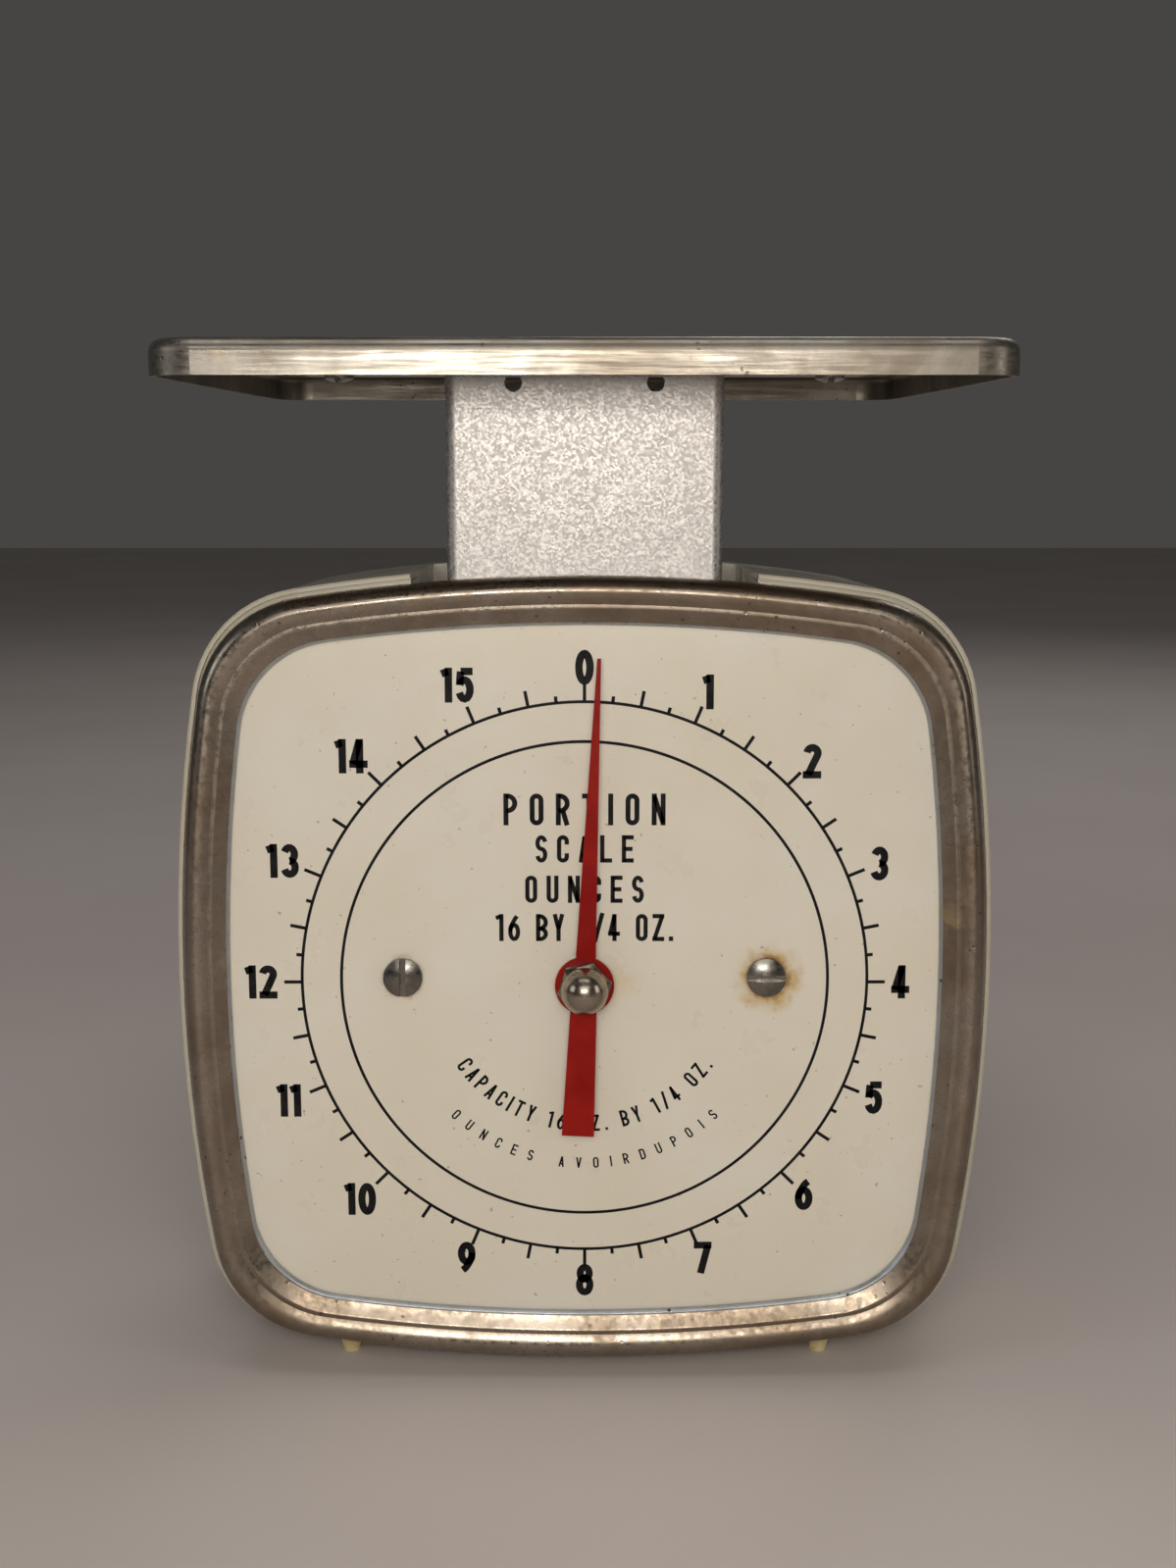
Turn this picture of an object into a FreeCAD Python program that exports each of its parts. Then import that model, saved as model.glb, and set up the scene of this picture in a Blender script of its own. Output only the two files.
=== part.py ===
"""Dial portion scale: a spring scale with a square weighing platform on a post, a cream case with a
bright bezel, and a round dial whose pointer makes one turn for the full load.

Frame: +Z up, +Y to the rear, the dial faces -Y. The origin is on the ground, under the middle of the
platform. Millimetres. Everything is drawn at rest, with nothing on the platform.

How it works: the platform, post and yoke sink on two equal levers (a parallelogram) against one
extension spring. A rack hung from the yoke turns the pinion on the pointer's spindle.
"""
import FreeCAD, Part
import math
import os

V = FreeCAD.Vector
X, Y, Z = V(1, 0, 0), V(0, 1, 0), V(0, 0, 1)

# ---------------------------------------------------------------- driving dimensions
# Case: a bent band of sheet with bowed sides, open at the top for the post, and a rear cover
case_half_width = 67.9
case_half_height = 68.1
case_bow = 300.0            # radius of the bowed sides
case_corner = 20.0
case_sheet = 1.0
case_taper = 1.3            # the band is this much smaller all round at its rear edge
ground_gap = 2.2            # from the ground to the lowest point of the case
rim_width = 2.2             # folded front rim of the band
rim_depth = 3.2
rim_groove = 0.7
cover_round = 5.0           # rounding of the rear cover's edge
cover_skirt = 8.0           # how far the rear cover reaches into the band

# Bezel and dial
bezel_inset = 1.5           # the bezel is this much smaller than the case all round
bezel_side_face = 7.6       # from the bezel's outer edge in to the window, at the sides
bezel_end_face = 7.9        # and at the top and bottom
bezel_bow = 300.0
bezel_corner = 19.0
window_bow = 310.0
window_corner = 16.5
bezel_sheet = 0.8
bezel_proud = 3.5           # how far the bezel stands in front of the dial
bezel_crest = 2.5           # from the outer edge in to the crest
dial_below_case_centre = 0.8
bezel_above_dial = 0.8
dial_sheet = 1.0
dial_hole = 4.0             # radius of the hole for the spindle
dial_screw_x = 30.2
dial_screw_up = 0.9         # the two dial screws sit this far above the pointer's axis
standoff_length = 8.0
standoff_radius = 3.5

# Weighing platform and post
platform_half = 64.1
platform_bow = 4000.0
platform_corner = 7.5
platform_sheet = 1.0
platform_lip = 5.4          # overall height of the tray
platform_round = 2.0
platform_rise = 34.3        # top of the platform above the top of the case
spider_half_length = 50.0
spider_half_width = 15.0
spider_sheet = 1.6
post_half_width = 23.6
post_depth = 28.0
post_sheet = 1.2
post_bend = 1.8
notch_x = 12.0              # two round holes just under the platform
notch_radius = 1.5
notch_gap = 4.6            # between the post and each side of the case's opening
post_into_case = 38.0       # how far the post reaches below the top of the case

# Lever work
lever_length = 40.0
lever_sheet = 1.5
lever_eye = 4.0             # radius of the rounded ends
rod_radius = 1.5
stud_radius = 2.0
chassis_sheet = 1.6
yoke_sheet = 1.2

# Rack and pinion: one turn of the pinion is the whole travel
gear_module = 0.4
pinion_teeth = 10
pressure_angle = math.radians(25.0)
addendum = 0.8              # in modules
dedendum = 1.0
gear_backlash = 0.10        # taken off each tooth's thickness at the pitch line
pinion_face = 6.0
rack_sheet = 2.5
rack_width = 4.0
spindle_radius = 1.5

# Pointer and its nut
pointer_edge_gap = 3.6       # from the pointer's tip to the nearest edge of the window
pointer_tail = 26.0
pointer_hub = 4.9
pointer_sheet = 0.5
pointer_gap = 2.1           # between the dial and the pointer
pointer_zero_error = 2.5    # degrees past the zero mark at rest
nut_flats = 7.94
nut_hex = 2.7
nut_dome = 3.85

# Springs
spring_radius = 5.0         # mean radius of the main spring
spring_wire = 1.1
spring_turns = 25
spring_pitch = 1.6

# Feet
foot_x = 41.2
foot_tip = 1.4
foot_root = 2.9
foot_stem = 1.6

# Clearances and fasteners
running = 0.05              # radial, a shaft in its hole
side_gap = 0.3              # along a shaft, between pieces that move past each other
screw_radius = 1.6
screw_head = 3.25
screw_head_height = 1.75
slot_width = 1.05
slot_depth = 1.1
rivet_radius = 1.5

# ---------------------------------------------------------------- places that follow from them
travel = math.pi * gear_module * pinion_teeth
half_swing = math.asin(travel / 2 / lever_length)

case_z = ground_gap + case_half_height
dial_z = case_z - dial_below_case_centre
bezel_half_width = case_half_width - bezel_inset
bezel_half_height = case_half_height - bezel_inset
window_half_width = bezel_half_width - bezel_side_face
window_half_height = bezel_half_height - bezel_end_face
pointer_length = min(window_half_height - bezel_above_dial, window_half_width) - pointer_edge_gap
bezel_z = dial_z + bezel_above_dial
case_top = case_z + case_half_height
case_top_inner = case_top - case_sheet
platform_top = case_top + platform_rise

post_front_y = -post_depth / 2
web_rear_y = post_front_y - 9.4
web_front_y = web_rear_y - chassis_sheet
dial_y = web_front_y - standoff_length - dial_sheet
rim_y = dial_y + 1.8
frame_pivot_y = web_rear_y + 4.4
carriage_pivot_y = frame_pivot_y + lever_length * math.cos(half_swing)
cover_inner_y = frame_pivot_y + lever_length + 8.0
cover_y = cover_inner_y + case_sheet
band_end_y = cover_y - cover_round

base_z = ground_gap + case_sheet + 4.0
bridge_z = case_top_inner - 10.0
upper_pivot_z = bridge_z - 20.0
lower_pivot_z = base_z + 31.2
upper_stud_z = upper_pivot_z + travel / 2
lower_stud_z = lower_pivot_z + travel / 2

yoke_outer_x = post_half_width - post_sheet
yoke_inner_x = yoke_outer_x - yoke_sheet
arm_inner_x = post_half_width + 1.7
arm_outer_x = arm_inner_x + lever_sheet
flange_inner_x = arm_outer_x + 6.9
flange_outer_x = flange_inner_x + chassis_sheet
notch_half = post_half_width + notch_gap

pitch_radius = gear_module * pinion_teeth / 2
bridge_y = post_depth / 2 + 2.0          # front edge of the bridge bar, behind the post
bridge_depth = 6.0
bridge_sheet = 1.6
bridge_screw_z = bridge_z - 4.0
post_bottom_z = case_top - post_into_case
rack_y = post_front_y + post_sheet + 0.8 + rack_sheet      # rear face of the rack
tie_y = rack_y + side_gap                                  # front face of the yoke's front tie
tie_top_z = post_bottom_z + 4.0
tie_bottom_z = tie_top_z - 12.0
notch_z = platform_top - platform_lip + 0.7
yoke_front_y = post_front_y + post_sheet + 0.8
yoke_rear_y = carriage_pivot_y + 4.5
yoke_top_z = upper_stud_z + 5.0
yoke_bottom_z = lower_stud_z - 16.0

bush_radius = spindle_radius + 1.8
bearing_half = 14.0
bearing_sheet = 1.2
bearing_rear_y = rack_y + 4.5

spring_y = bearing_rear_y + 11.0
hook_bolt_radius = 1.5
bolt_eye = 2.6
bolt_eye_wire = 0.75
bolt_eye_z = bridge_z - 7.0
hook_gap = 0.05
spring_top_z = bolt_eye_z - bolt_eye + bolt_eye_wire + hook_gap + spring_wire / 2 - spring_radius
spring_low_z = spring_top_z - spring_pitch * spring_turns
anchor_radius = 1.5
anchor_z = spring_low_z - spring_radius + spring_wire / 2 + hook_gap + anchor_radius
knob_radius = 6.0
knob_height = 4.0

foot_places = {"front": dial_y + 9.0, "rear": band_end_y - cover_skirt - 5.0}
chassis_screw_places = [(18.0, web_rear_y + 6.4), (18.0, web_rear_y + 32.4)]
cover_screw_z = [case_z - 30.0, case_z + 30.0]
cover_screw_y = band_end_y - cover_skirt / 2
yoke_rivet_places = [(-6.0, upper_stud_z + 0.5), (8.0, upper_stud_z + 0.5)]
spider_rivet_places = [(-7.0, platform_top - 11.0), (7.0, platform_top - 11.0)]
rack_rivet_x = pitch_radius + rack_width / 2 + dedendum * gear_module
rack_rivet_z = tie_top_z - 5.0
spider_screw_x = spider_half_length - 7.0
pinion_front_y = rack_y - rack_sheet / 2 - pinion_face / 2
pointer_y = dial_y - pointer_gap - pointer_sheet      # front face of the pointer
nose_y = pointer_y - nut_hex - 0.6


# ---------------------------------------------------------------- helpers
def box(x0, x1, y0, y1, z0, z1):
    return Part.makeBox(x1 - x0, y1 - y0, z1 - z0, V(x0, y0, z0))


def rod(radius, start, end):
    return Part.makeCylinder(radius, (end - start).Length, start, end - start)


def cone(radius0, radius1, start, end):
    return Part.makeCone(radius0, radius1, (end - start).Length, start, end - start)


def fuse(shapes):
    return shapes[0].multiFuse(shapes[1:]).removeSplitter() if len(shapes) > 1 else shapes[0]


def mirrored(shape):
    return shape.mirror(V(0, 0, 0), X)


def both(shape):
    """The shape and its mirror image on the other side."""
    return [shape, mirrored(shape)]


def plate_yz(points, x0, x1):
    """A flat plate, its outline given as (y, z) points, from x0 to x1."""
    corners = [V(x0, y, z) for y, z in points]
    return Part.Face(Part.makePolygon(corners + corners[:1])).extrude(V(x1 - x0, 0, 0))


def plate_xz(points, y0, y1):
    """A flat plate, its outline given as (x, z) points, from y0 to y1."""
    corners = [V(x, y0, z) for x, z in points]
    return Part.Face(Part.makePolygon(corners + corners[:1])).extrude(V(0, y1 - y0, 0))


def outline(half_width, half_height, bow, corner, centre_z=0.0):
    """A bowed square: eight tangent arcs, each (centre x, centre z, radius, start, end)."""
    side, top, reach = half_width - bow, half_height - bow, bow - corner
    half_gap = math.hypot(side, top) / 2
    out = math.sqrt(reach ** 2 - half_gap ** 2) / (2 * half_gap)
    kx, kz = side / 2 - top * out, top / 2 - side * out
    low, high = math.atan2(kz, kx - side), math.atan2(kz - top, kx)
    quarter = [(side, 0, bow, -low, low), (kx, kz, corner, low, high),
               (0, top, bow, high, math.pi - high), (-kx, kz, corner, math.pi - high, math.pi - low)]
    half = [(x, z + centre_z, r, a, b) for x, z, r, a, b in quarter]
    return half + [(-x, centre_z - z, r, a + math.pi, b + math.pi) for x, z, r, a, b in quarter]


def point_on(arc, offset, angle, y):
    x, z, radius, _, _ = arc
    return V(x + (radius + offset) * math.cos(angle), y, z + (radius + offset) * math.sin(angle))


def outline_edges(shape, offset, y):
    edges = []
    for arc in shape:
        a, b = arc[3], arc[4]
        ends = [point_on(arc, offset, t, y) for t in (a, (a + b) / 2, b)]
        edges.append(Part.Arc(*ends).toShape())
    return edges


def slab(shape, offset, y0, y1):
    face = Part.Face(Part.Wire(outline_edges(shape, offset, y0)))
    return face.extrude(V(0, y1 - y0, 0))


def ring(shape, profile):
    """A section swept round an outline. The section is a closed list of (outward offset, y) corners;
    a corner of four numbers is reached by an arc through its first two."""
    pieces = []
    for arc in shape:
        def place(u, y):
            return point_on(arc, u, arc[3], y)
        edges = []
        for before, after in zip(profile, profile[1:] + profile[:1]):
            start, end = place(*before[-2:]), place(*after[-2:])
            if len(after) == 4:
                edges.append(Part.Arc(start, place(*after[:2]), end).toShape())
            else:
                edges.append(Part.LineSegment(start, end).toShape())
        section = Part.Face(Part.Wire(edges))
        pieces.append(section.revolve(V(arc[0], 0, arc[1]), V(0, -1, 0), math.degrees(arc[4] - arc[3])))
    return fuse(pieces)


def skin_ring(sections):
    """A closed ring whose section runs through different outlines: a closed list of (outline, y)."""
    faces = []
    for (shape0, y0), (shape1, y1) in zip(sections, sections[1:] + sections[:1]):
        for edge0, edge1 in zip(outline_edges(shape0, 0, y0), outline_edges(shape1, 0, y1)):
            faces.append(Part.makeRuledSurface(edge0, edge1))
    skin = Part.Compound(faces)
    skin.sewShape()
    solid = Part.Solid(skin.Shells[0] if skin.Shells else Part.Shell(skin.Faces))
    if solid.Volume < 0:
        solid.reverse()
    return solid


def headed_screw(seat, inward, length, head=screw_head, height=screw_head_height, slot_along=None):
    """A slotted round-head screw: seat is the middle of the surface its head rests on."""
    crown = height * 0.45
    body = rod(head, seat - inward * (height - crown), seat)
    cap_radius = (head ** 2 + crown ** 2) / (2 * crown)
    cap = Part.makeSphere(cap_radius, seat - inward * (height - cap_radius))
    cap = cap.common(rod(head, seat - inward * (height + 0.1), seat - inward * (height - crown)))
    shank = rod(screw_radius, seat, seat + inward * length)
    screw = fuse([body, cap, shank])
    if slot_along is None:
        return screw
    across = slot_along.cross(inward)
    low = seat - inward * (height + 1) - slot_along * (head + 1) - across * (slot_width / 2)
    slot = Part.makePolygon([low, low + slot_along * 2 * (head + 1),
                             low + slot_along * 2 * (head + 1) + across * slot_width,
                             low + across * slot_width, low])
    return screw.cut(Part.Face(slot).extrude(inward * (slot_depth + 1)))


def coil(radius, wire, pitch, turns, start, angle=0.0):
    """A helical spring body that climbs in +Z from start, its first point at that angle."""
    path = Part.makeHelix(pitch, pitch * turns, radius)
    section = Part.Wire(Part.makeCircle(wire / 2, V(radius, 0, 0), V(0, 1, pitch / (2 * math.pi * radius))))
    body = Part.Wire(path).makePipeShell([section], True, True)
    body.rotate(V(0, 0, 0), Z, angle)
    body.translate(start)
    return body


def hook(radius, wire, centre, first, second, sweep):
    """Part of a wire loop about centre: it starts along first and turns towards second."""
    section = Part.Face(Part.Wire(Part.makeCircle(wire / 2, centre + first * radius, second)))
    return section.revolve(centre, first.cross(second), sweep)


# ---------------------------------------------------------------- outlines
case_shape = outline(case_half_width, case_half_height, case_bow, case_corner, case_z)
platform_shape = outline(platform_half, platform_half, platform_bow, platform_corner)


def band_offset(y):
    """How far the tapered band's outer face lies outside the case outline at y (negative)."""
    return -case_taper * (y - rim_y) / (band_end_y - rim_y)


def band_bottom(x, y):
    """Height of the band's outer face under the case."""
    radius = case_bow + band_offset(y)
    return case_z - case_half_height + case_bow - math.sqrt(radius ** 2 - x ** 2)


def band_side(y, z):
    """How far out the band's outer face is, beside the case."""
    radius = case_bow + band_offset(y)
    return case_half_width - case_bow + math.sqrt(radius ** 2 - (z - case_z) ** 2)


# ---------------------------------------------------------------- case
def case_band():
    """The cream band, its front edge folded in to a rim with a groove, open at the top."""
    end = -case_taper
    wall = [(0.0, rim_y + 0.3), (end, band_end_y), (end - case_sheet, band_end_y),
            (band_offset(rim_y + rim_depth) - case_sheet, rim_y + rim_depth),
            (-rim_width, rim_y + rim_depth), (-rim_width, rim_y),
            (-rim_width + rim_groove, rim_y), (-rim_width + rim_groove, rim_y + 1.2),
            (-2 * case_sheet / 3 - 0.1, rim_y + 1.2), (-2 * case_sheet / 3 - 0.1, rim_y), (-0.3, rim_y)]
    band = ring(case_shape, wall)
    notch_end_y = band_end_y - cover_skirt - 1.0
    low = case_top - 8.0
    notch = box(-notch_half, notch_half, rim_y - 1, notch_end_y, low - 1, case_top + 5)
    outer = box(-notch_half - case_sheet, notch_half + case_sheet, rim_y + rim_depth,
                notch_end_y + case_sheet, low, case_top)
    trim = outer.common(slab(case_shape, band_offset(band_end_y) - 0.1, rim_y, band_end_y))
    holes = [rod(foot_stem, V(s * foot_x, y, 0), V(s * foot_x, y, 20))
             for y in foot_places.values() for s in (-1, 1)]
    holes += [rod(screw_radius + running, V(s * x, y, 0), V(s * x, y, 20))
              for x, y in chassis_screw_places for s in (-1, 1)]
    holes += [rod(screw_radius + running, V(s * (case_half_width - 10), cover_screw_y, z),
                  V(s * (case_half_width + 5), cover_screw_y, z))
              for z in cover_screw_z for s in (-1, 1)]
    return band.fuse(trim).removeSplitter().cut(notch).cut(holes[0].multiFuse(holes[1:]))


def rear_cover():
    """A shallow pan: flat back, rounded shoulder, and a skirt that slides into the band."""
    end = -case_taper
    inner = cover_round - case_sheet
    skirt_out = end - case_sheet - running
    skirt_in = skirt_out - case_sheet
    mid = math.sqrt(0.5)
    section = [(end - cover_round, cover_y),
               (end - cover_round * (1 - mid), band_end_y + cover_round * mid, end, band_end_y),
               (skirt_out, band_end_y), (skirt_out, band_end_y - cover_skirt),
               (skirt_in, band_end_y - cover_skirt), (skirt_in, band_end_y + inner / 2),
               (end - cover_round, cover_inner_y)]
    shoulder = ring(case_shape, section)
    back = slab(case_shape, end - cover_round, cover_inner_y, cover_y)
    pan = shoulder.fuse(back).removeSplitter()
    holes = [rod(screw_radius, V(s * (case_half_width - 12), cover_screw_y, z),
                 V(s * (case_half_width + 5), cover_screw_y, z))
             for z in cover_screw_z for s in (-1, 1)]
    return pan.cut(holes[0].multiFuse(holes[1:]))


def cover_screws():
    screws = []
    for z in cover_screw_z:
        seat = V(band_side(cover_screw_y, z) + 0.15, cover_screw_y, z)
        screws += both(headed_screw(seat, V(-1, 0, 0), 2 * case_sheet + 3.0, 2.8, 1.9, Y))
    band, cover = case_band(), rear_cover()
    return [s.cut(band).cut(cover) for s in screws]


def feet(y):
    """Two tapered plugs pushed into the band, a button holding each one inside."""
    solids = []
    for side in (-1, 1):
        x = side * foot_x
        top = band_bottom(x, y)
        spread = (foot_root - foot_tip) / (top + 1.0)
        body = cone(foot_tip, foot_tip + spread * (top + 3), V(x, y, 0), V(x, y, top + 3))
        body = body.cut(slab(case_shape, band_offset(y - foot_root), y - 5, y + 5))
        stem = rod(foot_stem, V(x, y, top - 1.5), V(x, y, top + 2.6))
        button = rod(foot_stem + 0.8, V(x, y, top + 1.9), V(x, y, top + 3.2))
        solids.append(body.fuse(stem).fuse(button).removeSplitter())
    return solids


# ---------------------------------------------------------------- bezel and dial
def bezel_section_shape(share):
    """An outline between the bezel's outer edge (0) and the window's edge (1)."""
    def mix(a, b):
        return a + (b - a) * share
    return outline(mix(bezel_half_width, window_half_width), mix(bezel_half_height, window_half_height),
                   mix(bezel_bow, window_bow), mix(bezel_corner, window_corner), bezel_z)


def front_bezel():
    """A rolled ring: round outer shoulder, cove down to a flat lip over the dial, and a rear skirt."""
    width = bezel_half_width - window_half_width
    crest = bezel_crest / width
    crest_y = dial_y - bezel_proud
    shoulder_y = crest_y + 3.0
    lip = 1 - 1.5 / width
    lip_y = dial_y - 1.3
    thick = bezel_sheet / width
    skirt_out, skirt_in = 1.3 / width, 1.3 / width + thick
    steps = [k / 6 for k in range(7)]

    def quarter(out, inward, front, back):
        """Points of a quarter ellipse from (out, back) forward and in to (inward, front)."""
        return [(out + (inward - out) * (1 - math.cos(t * math.pi / 2)),
                 back + (front - back) * math.sin(t * math.pi / 2)) for t in steps]

    def cove(start, end, front, back):
        """An S curve from the crest down to the lip."""
        return [(start + (end - start) * t, front + (back - front) * (1 - math.cos(t * math.pi)) / 2)
                for t in steps[1:]]
    outer = [(0.0, rim_y - 0.1)] + quarter(0.0, crest, crest_y, shoulder_y)
    outer += cove(crest, lip, crest_y, lip_y) + [(1.0, lip_y + 0.1)]
    inner = [(1.0, lip_y + 0.1 + bezel_sheet)]
    inner += [(u, y + bezel_sheet) for u, y in reversed(cove(crest, lip - thick / 3, crest_y, lip_y))]
    inner += [(max(u, skirt_in), y) for u, y in
              reversed(quarter(thick, crest, crest_y + bezel_sheet, shoulder_y)[1:])]
    rear_y = rim_y - 0.1
    tail = [(skirt_in, rear_y - bezel_sheet), (skirt_in, rear_y + 3.0), (skirt_out, rear_y + 3.0),
            (skirt_out, rear_y)]
    return skin_ring([(bezel_section_shape(u), y) for u, y in outer + inner + tail])


def dial_plate():
    width = bezel_half_width - window_half_width
    plate = slab(bezel_section_shape(3.6 / width), 0, dial_y, dial_y + dial_sheet)
    holes = [rod(dial_hole, V(0, dial_y - 1, dial_z), V(0, dial_y + 3, dial_z))]
    for side in (-1, 1):
        place = V(side * dial_screw_x, dial_y - 1, dial_z + dial_screw_up)
        holes.append(rod(screw_radius + running, place, place + Y * 4))
    return plate.cut(holes[0].multiFuse(holes[1:]))


def dial_screws():
    """The left slot stands upright and the right one lies across, as they were left."""
    reach = dial_sheet + standoff_length + chassis_sheet + 1.0
    z = dial_z + dial_screw_up
    return [headed_screw(V(-dial_screw_x, dial_y, z), Y, reach, slot_along=Z),
            headed_screw(V(dial_screw_x, dial_y, z), Y, reach, slot_along=X)]


def dial_standoffs():
    tubes = []
    for side in (-1, 1):
        start = V(side * dial_screw_x, dial_y + dial_sheet, dial_z + dial_screw_up)
        end = start + Y * standoff_length
        tubes.append(rod(standoff_radius, start, end).cut(rod(screw_radius + running, start, end)))
    return tubes


# ---------------------------------------------------------------- chassis
def chassis():
    """One bent sheet: front web, two side flanges with arms to the rear, and a foot flange."""
    arm_z = bridge_z - 9.0
    web = box(-flange_outer_x, flange_outer_x, web_front_y, web_rear_y, base_z, bridge_z)
    ears = box(-dial_screw_x - 5, dial_screw_x + 5, web_front_y, web_rear_y,
               dial_z + dial_screw_up - 6, dial_z + dial_screw_up + 6)
    foot_half = min(30.0, flange_outer_x)
    foot = box(-foot_half, foot_half, web_front_y, band_end_y - cover_skirt - 2, base_z,
               base_z + chassis_sheet)
    flange = plate_yz([(web_front_y, base_z + 12), (frame_pivot_y + 7, base_z + 12),
                       (frame_pivot_y + 7, arm_z - 8), (frame_pivot_y + 14, arm_z),
                       (bridge_y + bridge_depth, arm_z), (bridge_y + bridge_depth, bridge_z),
                       (web_front_y, bridge_z)], flange_inner_x, flange_outer_x)
    body = fuse([web, ears, foot] + both(flange))
    cuts = [rod(rod_radius, V(-50, frame_pivot_y, z), V(50, frame_pivot_y, z))
            for z in (upper_pivot_z, lower_pivot_z)]
    cuts.append(rod(bush_radius, V(0, web_front_y - 1, dial_z), V(0, web_rear_y + 1, dial_z)))
    for side in (-1, 1):
        place = V(side * dial_screw_x, web_front_y - 1, dial_z + dial_screw_up)
        cuts.append(rod(screw_radius, place, place + Y * 4))
        cuts.append(rod(screw_radius, V(side * bearing_half, web_front_y - 1, dial_z),
                        V(side * bearing_half, web_rear_y + 1, dial_z)))
        place = V(side * (flange_inner_x - 1), bridge_y + bridge_depth / 2, bridge_screw_z)
        cuts.append(rod(screw_radius + running, place, place + X * side * 4))
        for x, y in chassis_screw_places:
            cuts.append(rod(screw_radius, V(side * x, y, base_z - 1), V(side * x, y, base_z + 4)))
    return body.cut(cuts[0].multiFuse(cuts[1:]))


def chassis_screws():
    screws = []
    for x, y in chassis_screw_places:
        bottom = band_bottom(x, y)
        seat = V(x, y, bottom + 0.1)
        screw = headed_screw(seat, Z, base_z + chassis_sheet - bottom + 0.8, 2.8, 1.8, Y)
        screws += both(screw.cut(slab(case_shape, band_offset(y - 4), y - 4, y + 4).cut(
            rod(screw_radius + running, V(x, y, 0), V(x, y, 20)))))
    return screws


def chassis_spacers():
    """Short tubes between the curved band and the flat foot flange, cut to the band's curve."""
    tubes = []
    for x, y in chassis_screw_places:
        low, high = V(x, y, band_bottom(x, y)), V(x, y, base_z)
        tube = rod(3.5, low, high).cut(rod(screw_radius + running, low, high))
        inside = slab(case_shape, band_offset(y - 3.5) - case_sheet, y - 5, y + 5)
        inside = inside.common(slab(case_shape, band_offset(y + 3.5) - case_sheet, y - 5, y + 5))
        tubes += both(tube.common(inside))
    return tubes


def pivot_rod(z):
    reach = flange_outer_x + 2.5
    body = rod(rod_radius, V(-reach, frame_pivot_y, z), V(reach, frame_pivot_y, z))
    for side in (-1, 1):
        at = V(side * (flange_outer_x + 0.4), frame_pivot_y, z)
        groove = rod(rod_radius + 1, at, at + X * side * 0.8).cut(
            rod(rod_radius - 0.4, at, at + X * side * 0.8))
        body = body.cut(groove)
    return body


def pivot_clips():
    """Open spring clips in the rods' end grooves."""
    clips = []
    for z in (upper_pivot_z, lower_pivot_z):
        start = V(flange_outer_x + 0.5, frame_pivot_y, z)
        clip = rod(rod_radius + 1.5, start, start + X * 0.6)
        clip = clip.cut(rod(rod_radius - 0.4, start, start + X * 0.6))
        mouth = box(start.x - 1, start.x + 2, frame_pivot_y - 0.7, frame_pivot_y + 0.7, z - 5, z)
        clips += both(clip.cut(mouth))
    return clips


# ---------------------------------------------------------------- spindle bearings
def flanged_bush(start, length, flange_at):
    """A brass bush along +Y with a thin flange, bored for the spindle."""
    end = start + Y * length
    body = rod(bush_radius, start, end).fuse(rod(bush_radius + 1.2, flange_at, flange_at + Y * 0.8))
    return body.cut(rod(spindle_radius + running, start - Y, end + Y)).removeSplitter()


def front_bush():
    start = V(0, web_front_y - 0.8, dial_z)
    return flanged_bush(start, chassis_sheet + 1.6, start)


def rear_bush():
    start = V(0, bearing_rear_y - bearing_sheet - 0.8, dial_z)
    return flanged_bush(start, bearing_sheet + 1.6, V(0, bearing_rear_y, dial_z))


def bearing_bridge():
    """A small bridge behind the web that holds the rear bush, with an ear on each side."""
    half = bearing_half - 4.5
    back = box(-half, half, bearing_rear_y - bearing_sheet, bearing_rear_y, dial_z - 6, dial_z + 6)
    leg = box(half - bearing_sheet, half, web_rear_y, bearing_rear_y, dial_z - 6, dial_z + 6)
    ear = box(half - bearing_sheet, bearing_half + 4, web_rear_y, web_rear_y + bearing_sheet,
              dial_z - 5, dial_z + 5)
    body = fuse([back] + both(leg) + both(ear))
    holes = [rod(bush_radius, V(0, bearing_rear_y - 3, dial_z), V(0, bearing_rear_y + 1, dial_z))]
    for side in (-1, 1):
        place = V(side * bearing_half, web_rear_y - 1, dial_z)
        holes.append(rod(screw_radius + running, place, place + Y * 4))
    return body.cut(holes[0].multiFuse(holes[1:]))


def bearing_screws():
    seat = V(bearing_half, web_rear_y + bearing_sheet, dial_z)
    return both(headed_screw(seat, V(0, -1, 0), bearing_sheet + chassis_sheet + 0.6, 2.6, 1.6, Z))


# ---------------------------------------------------------------- bridge, zero adjustment, spring
def spring_bridge():
    """A bar behind the post from one chassis arm to the other, with a tongue for the hook bolt."""
    bar = box(-flange_inner_x, flange_inner_x, bridge_y, bridge_y + bridge_depth,
              bridge_z, bridge_z + bridge_sheet)
    tongue = box(-7, 7, spring_y - 7, bridge_y, bridge_z, bridge_z + bridge_sheet)
    tab = box(flange_inner_x - bridge_sheet, flange_inner_x, bridge_y, bridge_y + bridge_depth,
              bridge_z - 8, bridge_z + bridge_sheet)
    body = fuse([bar, tongue] + both(tab))
    holes = [rod(hook_bolt_radius + running, V(0, spring_y, bridge_z - 2), V(0, spring_y, bridge_z + 4))]
    for side in (-1, 1):
        place = V(side * (flange_inner_x + 1), bridge_y + bridge_depth / 2, bridge_screw_z)
        holes.append(rod(screw_radius, place, place - X * side * 4))
    return body.cut(holes[0].multiFuse(holes[1:]))


def bridge_screws():
    seat = V(flange_outer_x, bridge_y + bridge_depth / 2, bridge_screw_z)
    return both(headed_screw(seat, V(-1, 0, 0), chassis_sheet + bridge_sheet + 0.8, 2.6, 1.6, Y))


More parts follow.
